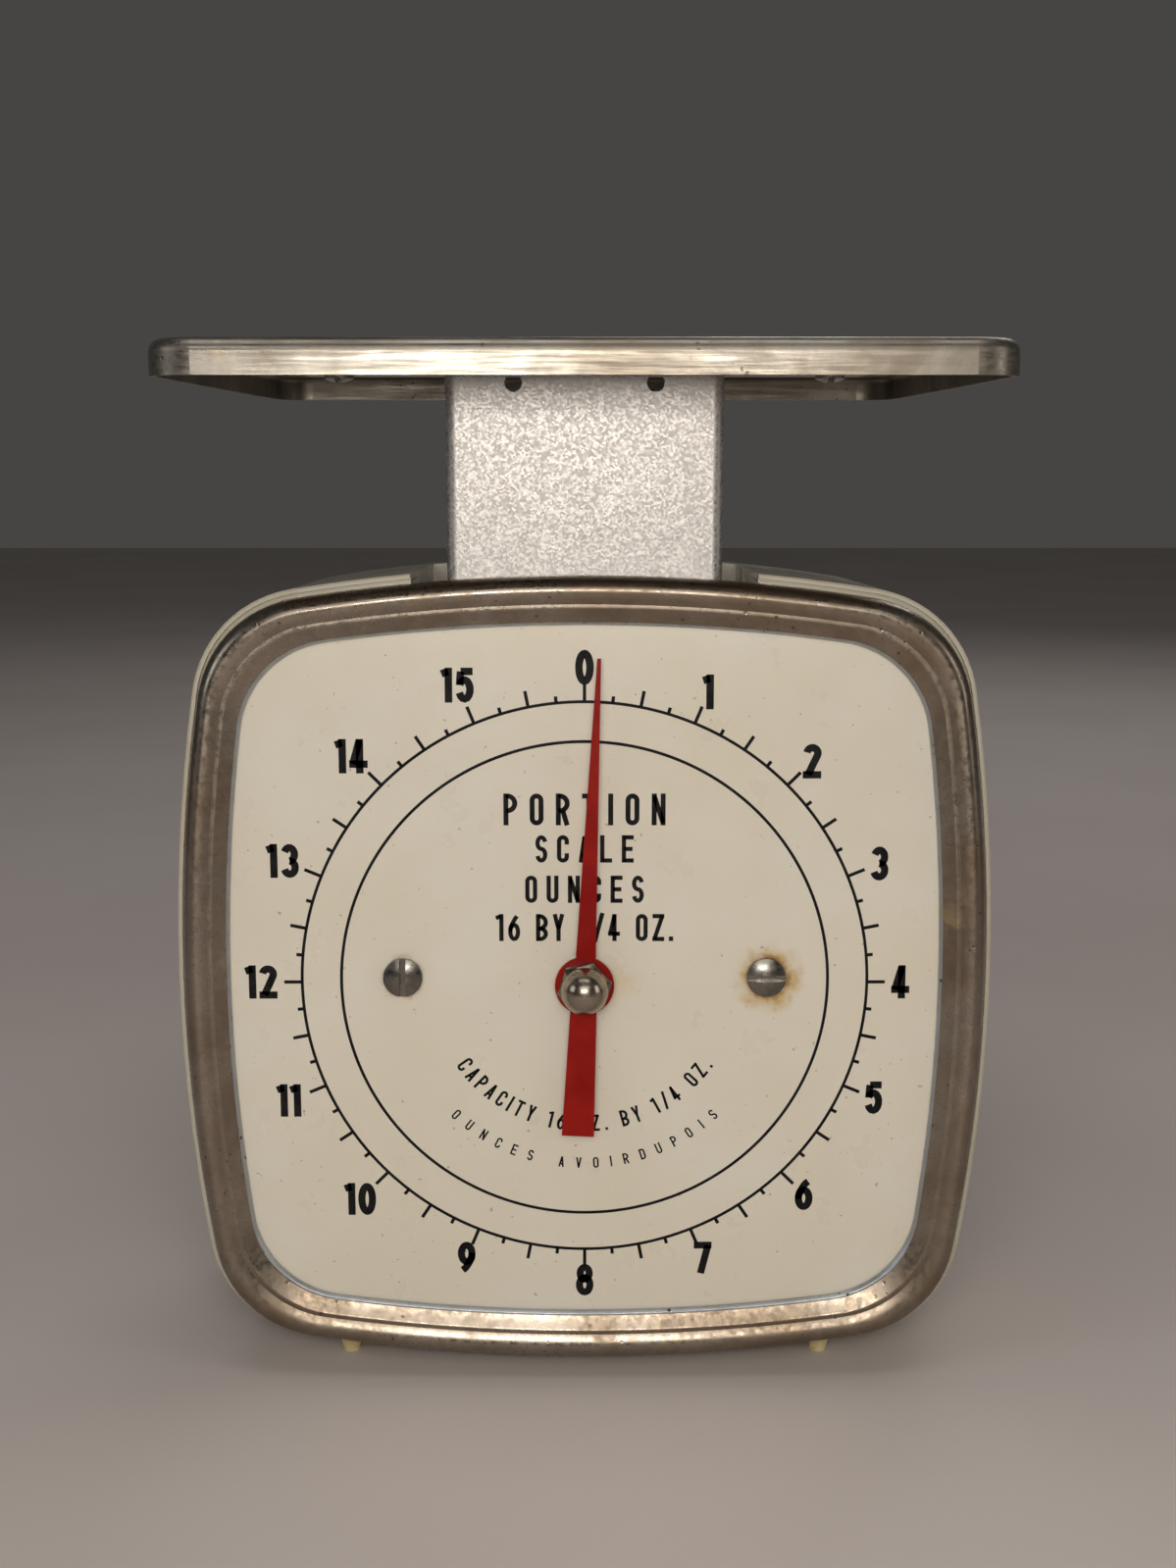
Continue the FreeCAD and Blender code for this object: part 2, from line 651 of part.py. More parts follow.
def zero_hook_bolt():
    """A threaded rod with an eye below for the spring's hook."""
    top = V(0, spring_y, bridge_z + bridge_sheet + knob_height + 2.5)
    low = V(0, spring_y, bolt_eye_z + bolt_eye)
    eye = Part.makeTorus(bolt_eye, bolt_eye_wire, V(0, spring_y, bolt_eye_z), Y)
    return rod(hook_bolt_radius, low, top).fuse(eye).removeSplitter()


def zero_knob():
    """A knurled thumb nut that rests on the tongue."""
    low = bridge_z + bridge_sheet + 0.05
    teeth = 30
    rim = []
    for k in range(2 * teeth):
        radius = knob_radius if k % 2 == 0 else knob_radius - 0.45
        angle = math.pi * k / teeth
        rim.append(V(radius * math.cos(angle), spring_y + radius * math.sin(angle), low))
    body = Part.Face(Part.makePolygon(rim + rim[:1])).extrude(Z * knob_height)
    collar = rod(knob_radius - 2.2, V(0, spring_y, low + knob_height), V(0, spring_y, low + knob_height + 1))
    bore = rod(hook_bolt_radius + running, V(0, spring_y, low - 1), V(0, spring_y, low + 9))
    return body.fuse(collar).cut(bore).removeSplitter()


def main_spring():
    """The load spring, close to solid at rest, with a half loop at each end."""
    middle = V(0, spring_y, 0)
    body = coil(spring_radius, spring_wire, spring_pitch, spring_turns, V(0, spring_y, spring_low_z), -90.0)
    loops = []
    for z, way in ((spring_top_z, Z), (spring_low_z, -Z)):
        centre = middle + Z * z
        loops.append(hook(spring_radius, spring_wire, centre, -Y, way, 165.0))
        loops.append(Part.makeSphere(spring_wire / 2, centre - Y * spring_radius))
    return body.multiFuse(loops)


# ---------------------------------------------------------------- levers
def lever(pivot_z, stud_z):
    """Two arms on a sleeve that turns on the chassis rod; the arms' far eyes take the yoke's studs."""
    near, far = V(0, frame_pivot_y, pivot_z), V(0, carriage_pivot_y, stud_z)
    along = (far - near).normalize()
    across = V(0, -along.z, along.y) * (lever_eye - 0.6)
    corners = [near + across, far + across, far - across, near - across]
    arm = plate_yz([(p.y, p.z) for p in corners], arm_inner_x, arm_outer_x)
    arm = arm.fuse(rod(lever_eye, near + X * arm_inner_x, near + X * arm_outer_x))
    arm = arm.fuse(rod(lever_eye, far + X * arm_inner_x, far + X * arm_outer_x))
    sleeve_end = flange_inner_x - side_gap
    sleeve = rod(rod_radius + 1.4, near - X * sleeve_end, near + X * sleeve_end)
    body = fuse([sleeve] + both(arm))
    bore = rod(rod_radius + running, near - X * 60, near + X * 60)
    eyes = rod(stud_radius + running, far - X * 60, far + X * 60)
    return body.cut(bore).cut(eyes)


# ---------------------------------------------------------------- yoke, post and platform
def yoke():
    """A bent sheet with two sides, a front tie that carries the rack and a tie across the bottom."""
    side = plate_yz([(yoke_front_y, post_bottom_z - 2), (yoke_front_y, yoke_top_z),
                     (yoke_rear_y, yoke_top_z),
                     (yoke_rear_y, upper_stud_z - 6), (spring_y + 7, upper_stud_z - 14),
                     (spring_y + 7, lower_stud_z + 14), (yoke_rear_y, lower_stud_z + 6),
                     (yoke_rear_y, lower_stud_z - 6), (spring_y + 7, yoke_bottom_z), (-6, yoke_bottom_z),
                     (-6, tie_bottom_z - 4), (tie_y, tie_bottom_z)], yoke_inner_x, yoke_outer_x)
    front_tie = box(-yoke_outer_x, yoke_outer_x, tie_y, tie_y + yoke_sheet, tie_bottom_z, tie_top_z)
    bottom_tie = box(-yoke_outer_x, yoke_outer_x, -6, spring_y + 7,
                     yoke_bottom_z, yoke_bottom_z + yoke_sheet)
    body = fuse([front_tie, bottom_tie] + both(side))
    cuts = [rod(stud_radius, V(-40, carriage_pivot_y, z), V(40, carriage_pivot_y, z))
            for z in (upper_stud_z, lower_stud_z)]
    cuts.append(rod(anchor_radius, V(-40, spring_y, anchor_z), V(40, spring_y, anchor_z)))
    cuts += [rod(rivet_radius, V(-40, y, z), V(40, y, z)) for y, z in yoke_rivet_places]
    cuts.append(rod(rivet_radius, V(rack_rivet_x, tie_y - 1, rack_rivet_z),
                    V(rack_rivet_x, 0, rack_rivet_z)))
    return body.cut(cuts[0].multiFuse(cuts[1:]))


def yoke_studs():
    """Shouldered studs riveted into the yoke's sides; the levers' eyes turn on them."""
    studs = []
    for z in (upper_stud_z, lower_stud_z):
        start = V(yoke_inner_x - 0.6, carriage_pivot_y, z)
        inner_head = rod(stud_radius + 0.8, start, V(yoke_inner_x, carriage_pivot_y, z))
        shoulder = rod(stud_radius + 0.8, V(yoke_outer_x, carriage_pivot_y, z),
                       V(arm_inner_x - side_gap, carriage_pivot_y, z))
        shank = rod(stud_radius, start, V(arm_outer_x + 1.2, carriage_pivot_y, z))
        head = rod(stud_radius + 1.0, V(arm_outer_x + side_gap, carriage_pivot_y, z),
                   V(arm_outer_x + side_gap + 1.0, carriage_pivot_y, z))
        studs += both(fuse([inner_head, shoulder, shank, head]))
    return studs


def spring_anchor():
    """The rod between the yoke's sides that the spring pulls up."""
    reach = yoke_outer_x + 0.6
    return rod(anchor_radius, V(-reach, spring_y, anchor_z), V(reach, spring_y, anchor_z))


def side_rivets(places, inner, outer):
    """Rivets through two sheets on each side, headed inside and filed flush outside."""
    rivets = []
    for y, z in places:
        shank = rod(rivet_radius, V(inner - 0.5, y, z), V(outer, y, z))
        head = rod(rivet_radius + 0.9, V(inner - 0.9, y, z), V(inner, y, z))
        rivets += both(shank.fuse(head).removeSplitter())
    return rivets


def post():
    """A channel with round bends, open to the rear, with two round holes near its top."""
    half, depth, bend = post_half_width, post_depth, post_bend
    top = platform_top - platform_sheet - spider_sheet
    height = top - post_bottom_z
    outer = box(-half, half, post_front_y, -post_front_y, post_bottom_z, top)
    outer = outer.makeFillet(bend, [e for e in outer.Edges if e.BoundBox.YMax < post_front_y + 0.1
                                    and e.BoundBox.ZLength > height - 1])
    inner = box(-half + post_sheet, half - post_sheet, post_front_y + post_sheet, -post_front_y + 5,
                post_bottom_z - 1, top + 1)
    inner = inner.makeFillet(bend - post_sheet, [e for e in inner.Edges if e.BoundBox.ZLength > height
                                                 and e.BoundBox.YMax < post_front_y + post_sheet + 0.1])
    body = outer.cut(inner)
    cuts = [rod(notch_radius, V(x, post_front_y - 1, notch_z), V(x, post_front_y + 3, notch_z))
            for x in (-notch_x, notch_x)]
    cuts += [rod(rivet_radius, V(-40, y, z), V(40, y, z))
             for y, z in yoke_rivet_places + spider_rivet_places]
    return body.cut(cuts[0].multiFuse(cuts[1:]))


def platform_spider():
    """The plate under the tray, with a tab down inside each side of the post."""
    top = platform_top - platform_sheet
    plate = box(-spider_half_length, spider_half_length, -spider_half_width, spider_half_width,
                top - spider_sheet, top)
    tab = box(yoke_outer_x - post_sheet, yoke_outer_x, -11, 11, top - 16, top)
    body = fuse([plate] + both(tab))
    cuts = [rod(rivet_radius, V(-40, y, z), V(40, y, z)) for y, z in spider_rivet_places]
    cuts += [rod(screw_radius, V(s * spider_screw_x, 0, top - 5), V(s * spider_screw_x, 0, top + 1))
             for s in (-1, 1)]
    return body.cut(cuts[0].multiFuse(cuts[1:]))


def spider_screws():
    """Screws from below; their tips stop inside the plate, so the tray's top stays plain."""
    top = platform_top - platform_sheet
    seat = V(spider_screw_x, 0, top - spider_sheet)
    return both(headed_screw(seat, Z, spider_sheet + 0.5, 2.6, 1.6, Y))


def platform():
    """A shallow inverted tray: flat top, rounded top edge and a short lip turned down all round."""
    low, edge = platform_top - platform_lip, platform_round
    mid = edge * (1 - math.sqrt(0.5))
    inner = edge - platform_sheet
    inner_mid = platform_sheet + inner * (1 - math.sqrt(0.5))
    pieces = []
    for arc in platform_shape:
        cx, cy, radius, a, b = arc

        def place(u, z):
            return V(cx + (radius + u) * math.cos(a), cy + (radius + u) * math.sin(a), z)
        top = platform_top
        edges = [Part.LineSegment(place(0, low), place(0, top - edge)),
                 Part.Arc(place(0, top - edge), place(-mid, top - mid), place(-edge, top)),
                 Part.LineSegment(place(-edge, top), place(-edge, top - platform_sheet)),
                 Part.Arc(place(-edge, top - platform_sheet), place(-inner_mid, top - inner_mid),
                          place(-platform_sheet, top - edge)),
                 Part.LineSegment(place(-platform_sheet, top - edge), place(-platform_sheet, low)),
                 Part.LineSegment(place(-platform_sheet, low), place(0, low))]
        section = Part.Face(Part.Wire([edge_.toShape() for edge_ in edges]))
        pieces.append(section.revolve(V(cx, cy, 0), Z, math.degrees(b - a)))
    flat = slab(platform_shape, -edge, 0, platform_sheet)
    flat.rotate(V(0, 0, 0), X, 90)
    flat.translate(Z * platform_top - Z * flat.BoundBox.ZMax)
    body = fuse(pieces + [flat])
    holes = [rod(screw_radius, V(s * spider_screw_x, 0, platform_top - 3),
                 V(s * spider_screw_x, 0, platform_top - platform_sheet + 0.5)) for s in (-1, 1)]
    return body.cut(holes[0].multiFuse(holes[1:]))


# ---------------------------------------------------------------- rack, spindle, pointer
def pinion_outline():
    """Corners of the toothed outline in the XZ plane about the spindle, a gap facing +X."""
    base = pitch_radius * math.cos(pressure_angle)
    tip = pitch_radius + addendum * gear_module
    root = pitch_radius - dedendum * gear_module
    pitch_roll = math.tan(pressure_angle)
    polar = pitch_roll - pressure_angle
    half_tooth = (math.pi * gear_module - gear_backlash) / 2 / 2 / pitch_radius
    flank = []
    for k in range(6):
        radius = max(base, root) + (tip - max(base, root)) * k / 5
        roll = math.sqrt(max(0.0, (radius / base) ** 2 - 1))
        flank.append((radius, half_tooth + polar - (roll - math.atan(roll))))
    if root < base:
        flank.insert(0, (root, flank[0][1]))
    corners = []
    for tooth in range(pinion_teeth):
        centre = 2 * math.pi * (tooth + 0.5) / pinion_teeth
        for radius, half in flank:
            corners.append((radius * math.cos(centre - half), radius * math.sin(centre - half)))
        for radius, half in reversed(flank):
            corners.append((radius * math.cos(centre + half), radius * math.sin(centre + half)))
    return corners


def spindle_pinion():
    """The pointer's spindle with its pinion, a collar behind the front bush and a threaded nose."""
    y0, y1 = pinion_front_y, pinion_front_y + pinion_face
    teeth = plate_xz(pinion_outline(), y0, y1)
    teeth.translate(Z * dial_z)
    tail_y = bearing_rear_y + 1.8
    shaft = rod(spindle_radius, V(0, nose_y, dial_z), V(0, tail_y, dial_z))
    collar = rod(spindle_radius + 1.0, V(0, web_rear_y + 0.8 + side_gap, dial_z),
                 V(0, y0 - 1.0, dial_z))
    groove_y = bearing_rear_y + 0.8 + 0.25
    groove = rod(spindle_radius + 1, V(0, groove_y, dial_z), V(0, groove_y + 0.5, dial_z))
    groove = groove.cut(rod(spindle_radius - 0.4, V(0, groove_y, dial_z), V(0, groove_y + 0.5, dial_z)))
    return fuse([teeth, shaft, collar]).cut(groove)


def spindle_clip():
    """An open clip in the groove at the spindle's rear end."""
    y = bearing_rear_y + 0.8 + 0.3
    clip = rod(spindle_radius + 1.4, V(0, y, dial_z), V(0, y + 0.4, dial_z))
    clip = clip.cut(rod(spindle_radius - 0.4, V(0, y, dial_z), V(0, y + 0.4, dial_z)))
    return clip.cut(box(-0.6, 0.6, y - 1, y + 1, dial_z - 5, dial_z))


def rack():
    """A toothed strip hung from the yoke's front tie, on the pinion's +X side."""
    pitch = math.pi * gear_module
    tip_x = pitch_radius - addendum * gear_module
    root_x = pitch_radius + dedendum * gear_module
    lean = math.tan(pressure_angle)
    half = (pitch - gear_backlash) / 4
    last = int(travel / pitch + 0.5) + 3
    points = [(root_x + rack_width, dial_z - 3.6 * pitch), (root_x, dial_z - 3.6 * pitch)]
    for k in range(-3, last):
        middle = dial_z + k * pitch
        wide, narrow = half + (root_x - pitch_radius) * lean, half - (pitch_radius - tip_x) * lean
        points += [(root_x, middle - wide), (tip_x, middle - narrow), (tip_x, middle + narrow),
                   (root_x, middle + wide)]
    points += [(root_x, rack_rivet_z + 3.5), (root_x + rack_width, rack_rivet_z + 3.5)]
    body = plate_xz(points, rack_y - rack_sheet, rack_y)
    return body.cut(rod(rivet_radius, V(rack_rivet_x, rack_y - 5, rack_rivet_z),
                        V(rack_rivet_x, rack_y + 5, rack_rivet_z)))


def rack_rivet():
    """A shouldered rivet that holds the rack on the tie."""
    x, z = rack_rivet_x, rack_rivet_z
    front = rod(rivet_radius + 0.3, V(x, rack_y - rack_sheet - 0.5, z), V(x, rack_y - rack_sheet, z))
    spacer = rod(rivet_radius + 0.6, V(x, rack_y, z), V(x, tie_y, z))
    back_y = tie_y + yoke_sheet
    head = rod(rivet_radius + 1.0, V(x, back_y, z), V(x, back_y + 0.8, z))
    shank = rod(rivet_radius, V(x, rack_y - rack_sheet - 0.5, z), V(x, back_y + 0.8, z))
    return fuse([front, spacer, head, shank])


def pointer():
    """A thin flat hand: long taper to a fine tip, a round hub and a tail that widens to its end."""
    blade = [(-0.3, pointer_length), (-1.7, 3.0), (-2.15, -3.0), (-2.7, -pointer_tail),
             (2.7, -pointer_tail), (2.15, -3.0), (1.7, 3.0), (0.3, pointer_length)]
    body = plate_xz(blade, 0, pointer_sheet)
    body = body.fuse(rod(pointer_hub, V(0, 0, 0), V(0, pointer_sheet, 0))).removeSplitter()
    body = body.cut(rod(spindle_radius, V(0, -1, 0), V(0, 1, 0)))
    body.rotate(V(0, 0, 0), Y, pointer_zero_error)
    body.translate(V(0, pointer_y, dial_z))
    return body


def acorn_nut():
    """A domed nut that holds the pointer on the spindle."""
    hexagon = []
    for k in range(6):
        angle = math.radians(60 * k + 12)
        reach = nut_flats / 2 / math.cos(math.pi / 6)
        hexagon.append((reach * math.cos(angle), reach * math.sin(angle)))
    body = plate_xz(hexagon, pointer_y - nut_hex, pointer_y)
    body.translate(Z * dial_z)
    bevel = cone(nut_flats / 2 - 0.25, nut_flats / 2 + nut_hex, V(0, pointer_y - nut_hex, dial_z),
                 V(0, pointer_y + 0.25, dial_z))
    body = body.common(bevel)
    dome = Part.makeSphere(nut_dome, V(0, pointer_y - nut_hex - 0.6, dial_z))
    dome = dome.common(box(-9, 9, pointer_y - 20, pointer_y - nut_hex - 0.6, dial_z - 9, dial_z + 9))
    neck = rod(nut_dome, V(0, pointer_y - nut_hex - 0.6, dial_z), V(0, pointer_y - nut_hex, dial_z))
    body = fuse([body, neck, dome])
    return body.cut(rod(spindle_radius, V(0, nose_y, dial_z), V(0, pointer_y + 1, dial_z)))


def stop_bumper():
    """A rubber button on the chassis foot that the yoke meets just past full load."""
    low = base_z + chassis_sheet
    top = yoke_bottom_z - travel - 0.25
    y = spring_y - 2
    stem = cone(5.0, 3.8, V(0, y, low), V(0, y, top))
    return stem


# ---------------------------------------------------------------- write the pieces
def write(node, shape):
    """One file per node; a list becomes a compound of its separate solids."""
    if isinstance(shape, list):
        shape = Part.Compound(shape)
    shape.exportStep("parts/" + node + ".step")


os.makedirs("parts", exist_ok=True)
write("case_band", case_band())
write("rear_cover", rear_cover())
write("cover_screws", cover_screws())
write("front_bezel", front_bezel())
write("dial_plate", dial_plate())
write("dial_screws", dial_screws())
write("dial_standoffs", dial_standoffs())
write("front_feet", feet(foot_places["front"]))
write("rear_feet", feet(foot_places["rear"]))
write("chassis", chassis())
write("chassis_screws", chassis_screws())
write("chassis_spacers", chassis_spacers())
write("upper_pivot_rod", pivot_rod(upper_pivot_z))
write("lower_pivot_rod", pivot_rod(lower_pivot_z))
write("pivot_clips", pivot_clips())
write("front_bush", front_bush())
write("rear_bush", rear_bush())
write("bearing_bridge", bearing_bridge())
write("bearing_screws", bearing_screws())
write("spring_bridge", spring_bridge())
write("bridge_screws", bridge_screws())
write("zero_hook_bolt", zero_hook_bolt())
write("zero_knob", zero_knob())
write("main_spring", main_spring())
write("stop_bumper", stop_bumper())
write("upper_lever", lever(upper_pivot_z, upper_stud_z))
write("lower_lever", lever(lower_pivot_z, lower_stud_z))
write("yoke", yoke())
write("yoke_studs", yoke_studs())
write("yoke_rivets", side_rivets(yoke_rivet_places, yoke_inner_x, post_half_width))
write("spring_anchor", spring_anchor())
write("rack", rack())
write("rack_rivet", rack_rivet())
write("post", post())
write("spider_rivets", side_rivets(spider_rivet_places, yoke_outer_x - post_sheet, post_half_width))
write("platform_spider", platform_spider())
write("spider_screws", spider_screws())
write("platform", platform())
write("spindle_pinion", spindle_pinion())
write("spindle_clip", spindle_clip())
write("pointer", pointer())
write("acorn_nut", acorn_nut())
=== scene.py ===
"""Looks for the dial portion scale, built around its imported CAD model.

Metres, +Z up, and the dial faces -Y. Every place comes from the CAD nodes' boxes.
"""
import math

import bmesh
import bpy
from mathutils import Matrix, Vector


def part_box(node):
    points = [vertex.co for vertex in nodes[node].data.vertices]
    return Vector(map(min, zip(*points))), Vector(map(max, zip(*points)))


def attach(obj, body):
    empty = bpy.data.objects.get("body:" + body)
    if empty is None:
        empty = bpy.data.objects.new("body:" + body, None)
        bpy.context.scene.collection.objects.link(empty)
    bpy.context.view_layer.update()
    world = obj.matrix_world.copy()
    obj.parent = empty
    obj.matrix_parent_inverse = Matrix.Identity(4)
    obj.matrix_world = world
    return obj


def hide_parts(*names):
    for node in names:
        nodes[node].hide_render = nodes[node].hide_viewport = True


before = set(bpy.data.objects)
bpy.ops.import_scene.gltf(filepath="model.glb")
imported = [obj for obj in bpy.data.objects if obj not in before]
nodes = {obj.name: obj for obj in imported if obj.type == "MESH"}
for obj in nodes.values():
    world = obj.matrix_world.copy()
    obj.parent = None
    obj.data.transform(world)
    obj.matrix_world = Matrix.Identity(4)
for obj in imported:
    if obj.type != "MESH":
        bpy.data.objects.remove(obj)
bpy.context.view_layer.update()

MM = 0.001

# ---------------------------------------------------------------- places read from the frame
dial_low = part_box("dial_plate")[0]
bezel_low, bezel_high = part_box("front_bezel")
screws_low, screws_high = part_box("dial_screws")
nut_low, nut_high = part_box("acorn_nut")

dial_face_y = dial_low.y
axis_z = (nut_low.z + nut_high.z) / 2
axis = Vector((0, dial_face_y, axis_z))
screw_head_radius = (screws_high.z - screws_low.z) / 2
right_screw = Vector((screws_high.x - screw_head_radius, dial_face_y, (screws_low.z + screws_high.z) / 2))
left_screw = Vector((-right_screw.x, dial_face_y, right_screw.z))

# ---------------------------------------------------------------- sizes of the printed dial
tick_circle = 47.0 * MM
inner_circle = 40.45 * MM
line_width = 0.50 * MM
tick_width = 0.56 * MM
ink_depth = 0.03 * MM
ounces = 16
tick_lengths = (3.0 * MM, 1.1 * MM, 2.7 * MM, 1.1 * MM)    # whole, quarter, half, three quarters
number_height = 5.7 * MM
number_radius = 52.6 * MM
wide_number_radius = 53.8 * MM


# ================================================================ materials
def shade(colour, share):
    """The colour with each channel cut to a share."""
    return tuple(c * f for c, f in zip(colour, share))


class Graph:
    """A material's node tree, with short ways to add and join nodes."""

    def __init__(self, name, metallic=0.0, roughness=0.5, coat=0.0, colour=(0.5, 0.5, 0.5)):
        self.material = bpy.data.materials.new(name)
        self.material.use_nodes = True
        self.tree = self.material.node_tree
        self.shader = self.tree.nodes["Principled BSDF"]
        self.shader.inputs["Metallic"].default_value = metallic
        self.shader.inputs["Roughness"].default_value = roughness
        self.shader.inputs["Coat Weight"].default_value = coat
        self.shader.inputs["Coat Roughness"].default_value = 0.08
        self.shader.inputs["Base Color"].default_value = (*colour, 1)
        self.place = self.add("ShaderNodeTexCoord").outputs["Object"]

    def add(self, kind, **settings):
        node = self.tree.nodes.new(kind)
        for key, value in settings.items():
            setattr(node, key, value)
        return node

    def join(self, source, socket):
        self.tree.links.new(source, socket)

    def feed(self, socket, value):
        """Joins an output to the socket, or sets it when the value is a plain number or colour."""
        if isinstance(value, bpy.types.NodeSocket):
            self.join(value, socket)
        elif isinstance(value, tuple) and len(value) == 3 and socket.type == "RGBA":
            socket.default_value = (*value, 1)
        else:
            socket.default_value = value

    def stretched(self, scale):
        mapping = self.add("ShaderNodeMapping")
        self.join(self.place, mapping.inputs["Vector"])
        mapping.inputs["Scale"].default_value = scale
        return mapping.outputs["Vector"]

    def noise(self, scale, detail=4.0, rough=0.55, distortion=0.0, vector=None):
        node = self.add("ShaderNodeTexNoise")
        self.join(vector or self.place, node.inputs["Vector"])
        node.inputs["Scale"].default_value = scale
        node.inputs["Detail"].default_value = detail
        node.inputs["Roughness"].default_value = rough
        node.inputs["Distortion"].default_value = distortion
        return node.outputs["Fac"]

    def cells(self, scale, output="Distance", feature="F1", randomness=1.0):
        node = self.add("ShaderNodeTexVoronoi", feature=feature)
        self.join(self.place, node.inputs["Vector"])
        node.inputs["Scale"].default_value = scale
        node.inputs["Randomness"].default_value = randomness
        return node.outputs[output]

    def ramp(self, value, start, end, low=0.0, high=1.0):
        """Value mapped from start..end to low..high, held at the ends."""
        node = self.add("ShaderNodeMapRange", interpolation_type="SMOOTHSTEP")
        self.feed(node.inputs["Value"], value)
        for socket, number in zip(("From Min", "From Max", "To Min", "To Max"), (start, end, low, high)):
            node.inputs[socket].default_value = number
        return node.outputs["Result"]

    def sum(self, a, b, operation="ADD"):
        node = self.add("ShaderNodeMath", operation=operation)
        self.feed(node.inputs[0], a)
        self.feed(node.inputs[1], b)
        return node.outputs["Value"]

    def times(self, a, b):
        return self.sum(a, b, "MULTIPLY")

    def blend(self, amount, a, b, mode="MIX"):
        node = self.add("ShaderNodeMix", data_type="RGBA", blend_type=mode)
        self.feed(node.inputs["Factor"], amount)
        self.feed(node.inputs["A"], a)
        self.feed(node.inputs["B"], b)
        return node.outputs["Result"]

    def away(self, point):
        """Distance from a point of the row frame, in metres."""
        node = self.add("ShaderNodeVectorMath", operation="DISTANCE")
        self.join(self.place, node.inputs[0])
        node.inputs[1].default_value = point
        return node.outputs["Value"]

    def part(self, letter, vector=None):
        node = self.add("ShaderNodeSeparateXYZ")
        self.join(vector or self.place, node.inputs["Vector"])
        return node.outputs[letter]

    def bump(self, height, distance, strength=1.0, under=None):
        node = self.add("ShaderNodeBump")
        node.inputs["Strength"].default_value = strength
        node.inputs["Distance"].default_value = distance
        self.feed(node.inputs["Height"], height)
        if under is not None:
            self.join(under, node.inputs["Normal"])
        return node.outputs["Normal"]

    def finish(self, colour=None, roughness=None, normal=None, metallic=None):
        for name, value in (("Base Color", colour), ("Roughness", roughness), ("Normal", normal),
                            ("Metallic", metallic)):
            if value is not None:
                self.feed(self.shader.inputs[name], value)
        return self.material


RUST = (0.26, 0.10, 0.025)


def cream_enamel(name, colour, stain=0.5):
    """Glossy baked enamel: faint mottling, an orange-peel skin, grime and a few chips."""
    g = Graph(name, roughness=0.3, coat=0.25)
    mottle = g.noise(60, 5, 0.6)
    grime = g.ramp(g.noise(25, 8, 0.7), 0.52, 0.75, 0.0, stain)
    tint = g.blend(g.ramp(mottle, 0.3, 0.7), colour, shade(colour, (0.97, 0.95, 0.90)))
    tint = g.blend(grime, tint, shade(colour, (0.80, 0.72, 0.58)))
    chips = g.ramp(g.noise(420, 3, 0.5), 0.76, 0.79)
    tint = g.blend(g.times(chips, 0.7), tint, (0.16, 0.11, 0.07))
    rough = g.ramp(g.noise(90, 6, 0.6), 0.3, 0.7, 0.22, 0.40)
    skin = g.bump(g.noise(700, 2, 0.4), 0.00003, 0.35)
    return g.finish(tint, rough, skin)


def dial_enamel():
    """The dial's cream face, with rust stains round its screws and a yellow mark by the hub."""
    cream = (0.80, 0.745, 0.63)
    g = Graph("dial_enamel", roughness=0.34, coat=0.15)
    mottle = g.ramp(g.noise(45, 6, 0.6), 0.35, 0.65)
    tint = g.blend(mottle, cream, shade(cream, (0.975, 0.96, 0.92)))
    wobble = g.times(g.sum(g.noise(260, 6, 0.65), 0.5, "SUBTRACT"), 7 * MM)

    def halo(centre, inner, outer, colour, strength, rag=1.0):
        nonlocal tint
        ragged = g.sum(g.away(centre), g.times(wobble, rag))
        ring = g.ramp(ragged, inner, outer, strength, 0.0)
        amount = g.times(ring, g.ramp(g.noise(500, 5), 0.3, 0.6, 0.5, 1.0))
        tint = g.blend(amount, tint, colour)
    out = screw_head_radius
    halo(right_screw + Vector((0.5 * MM, 0, -0.5 * MM)), out * 0.9, out + 3.3 * MM, (0.58, 0.37, 0.09), 0.95)
    halo(right_screw + Vector((0.3 * MM, 0, -0.2 * MM)), out * 0.95, out + 0.9 * MM, RUST, 0.75, 0.5)
    halo(left_screw, out * 0.95, out + 0.8 * MM, (0.40, 0.27, 0.14), 0.45, 0.6)
    halo(axis + Vector((5.2 * MM, 0, -0.5 * MM)), 1.0 * MM, 4.6 * MM, (0.70, 0.55, 0.27), 0.45)
    specks = g.ramp(g.noise(900, 2, 0.5), 0.735, 0.77)
    tint = g.blend(g.times(specks, 0.55), tint, (0.25, 0.17, 0.10))
    rough = g.ramp(g.noise(120, 5, 0.6), 0.3, 0.7, 0.26, 0.42)
    return g.finish(tint, rough, g.bump(g.noise(600, 2, 0.4), 0.00002, 0.3))


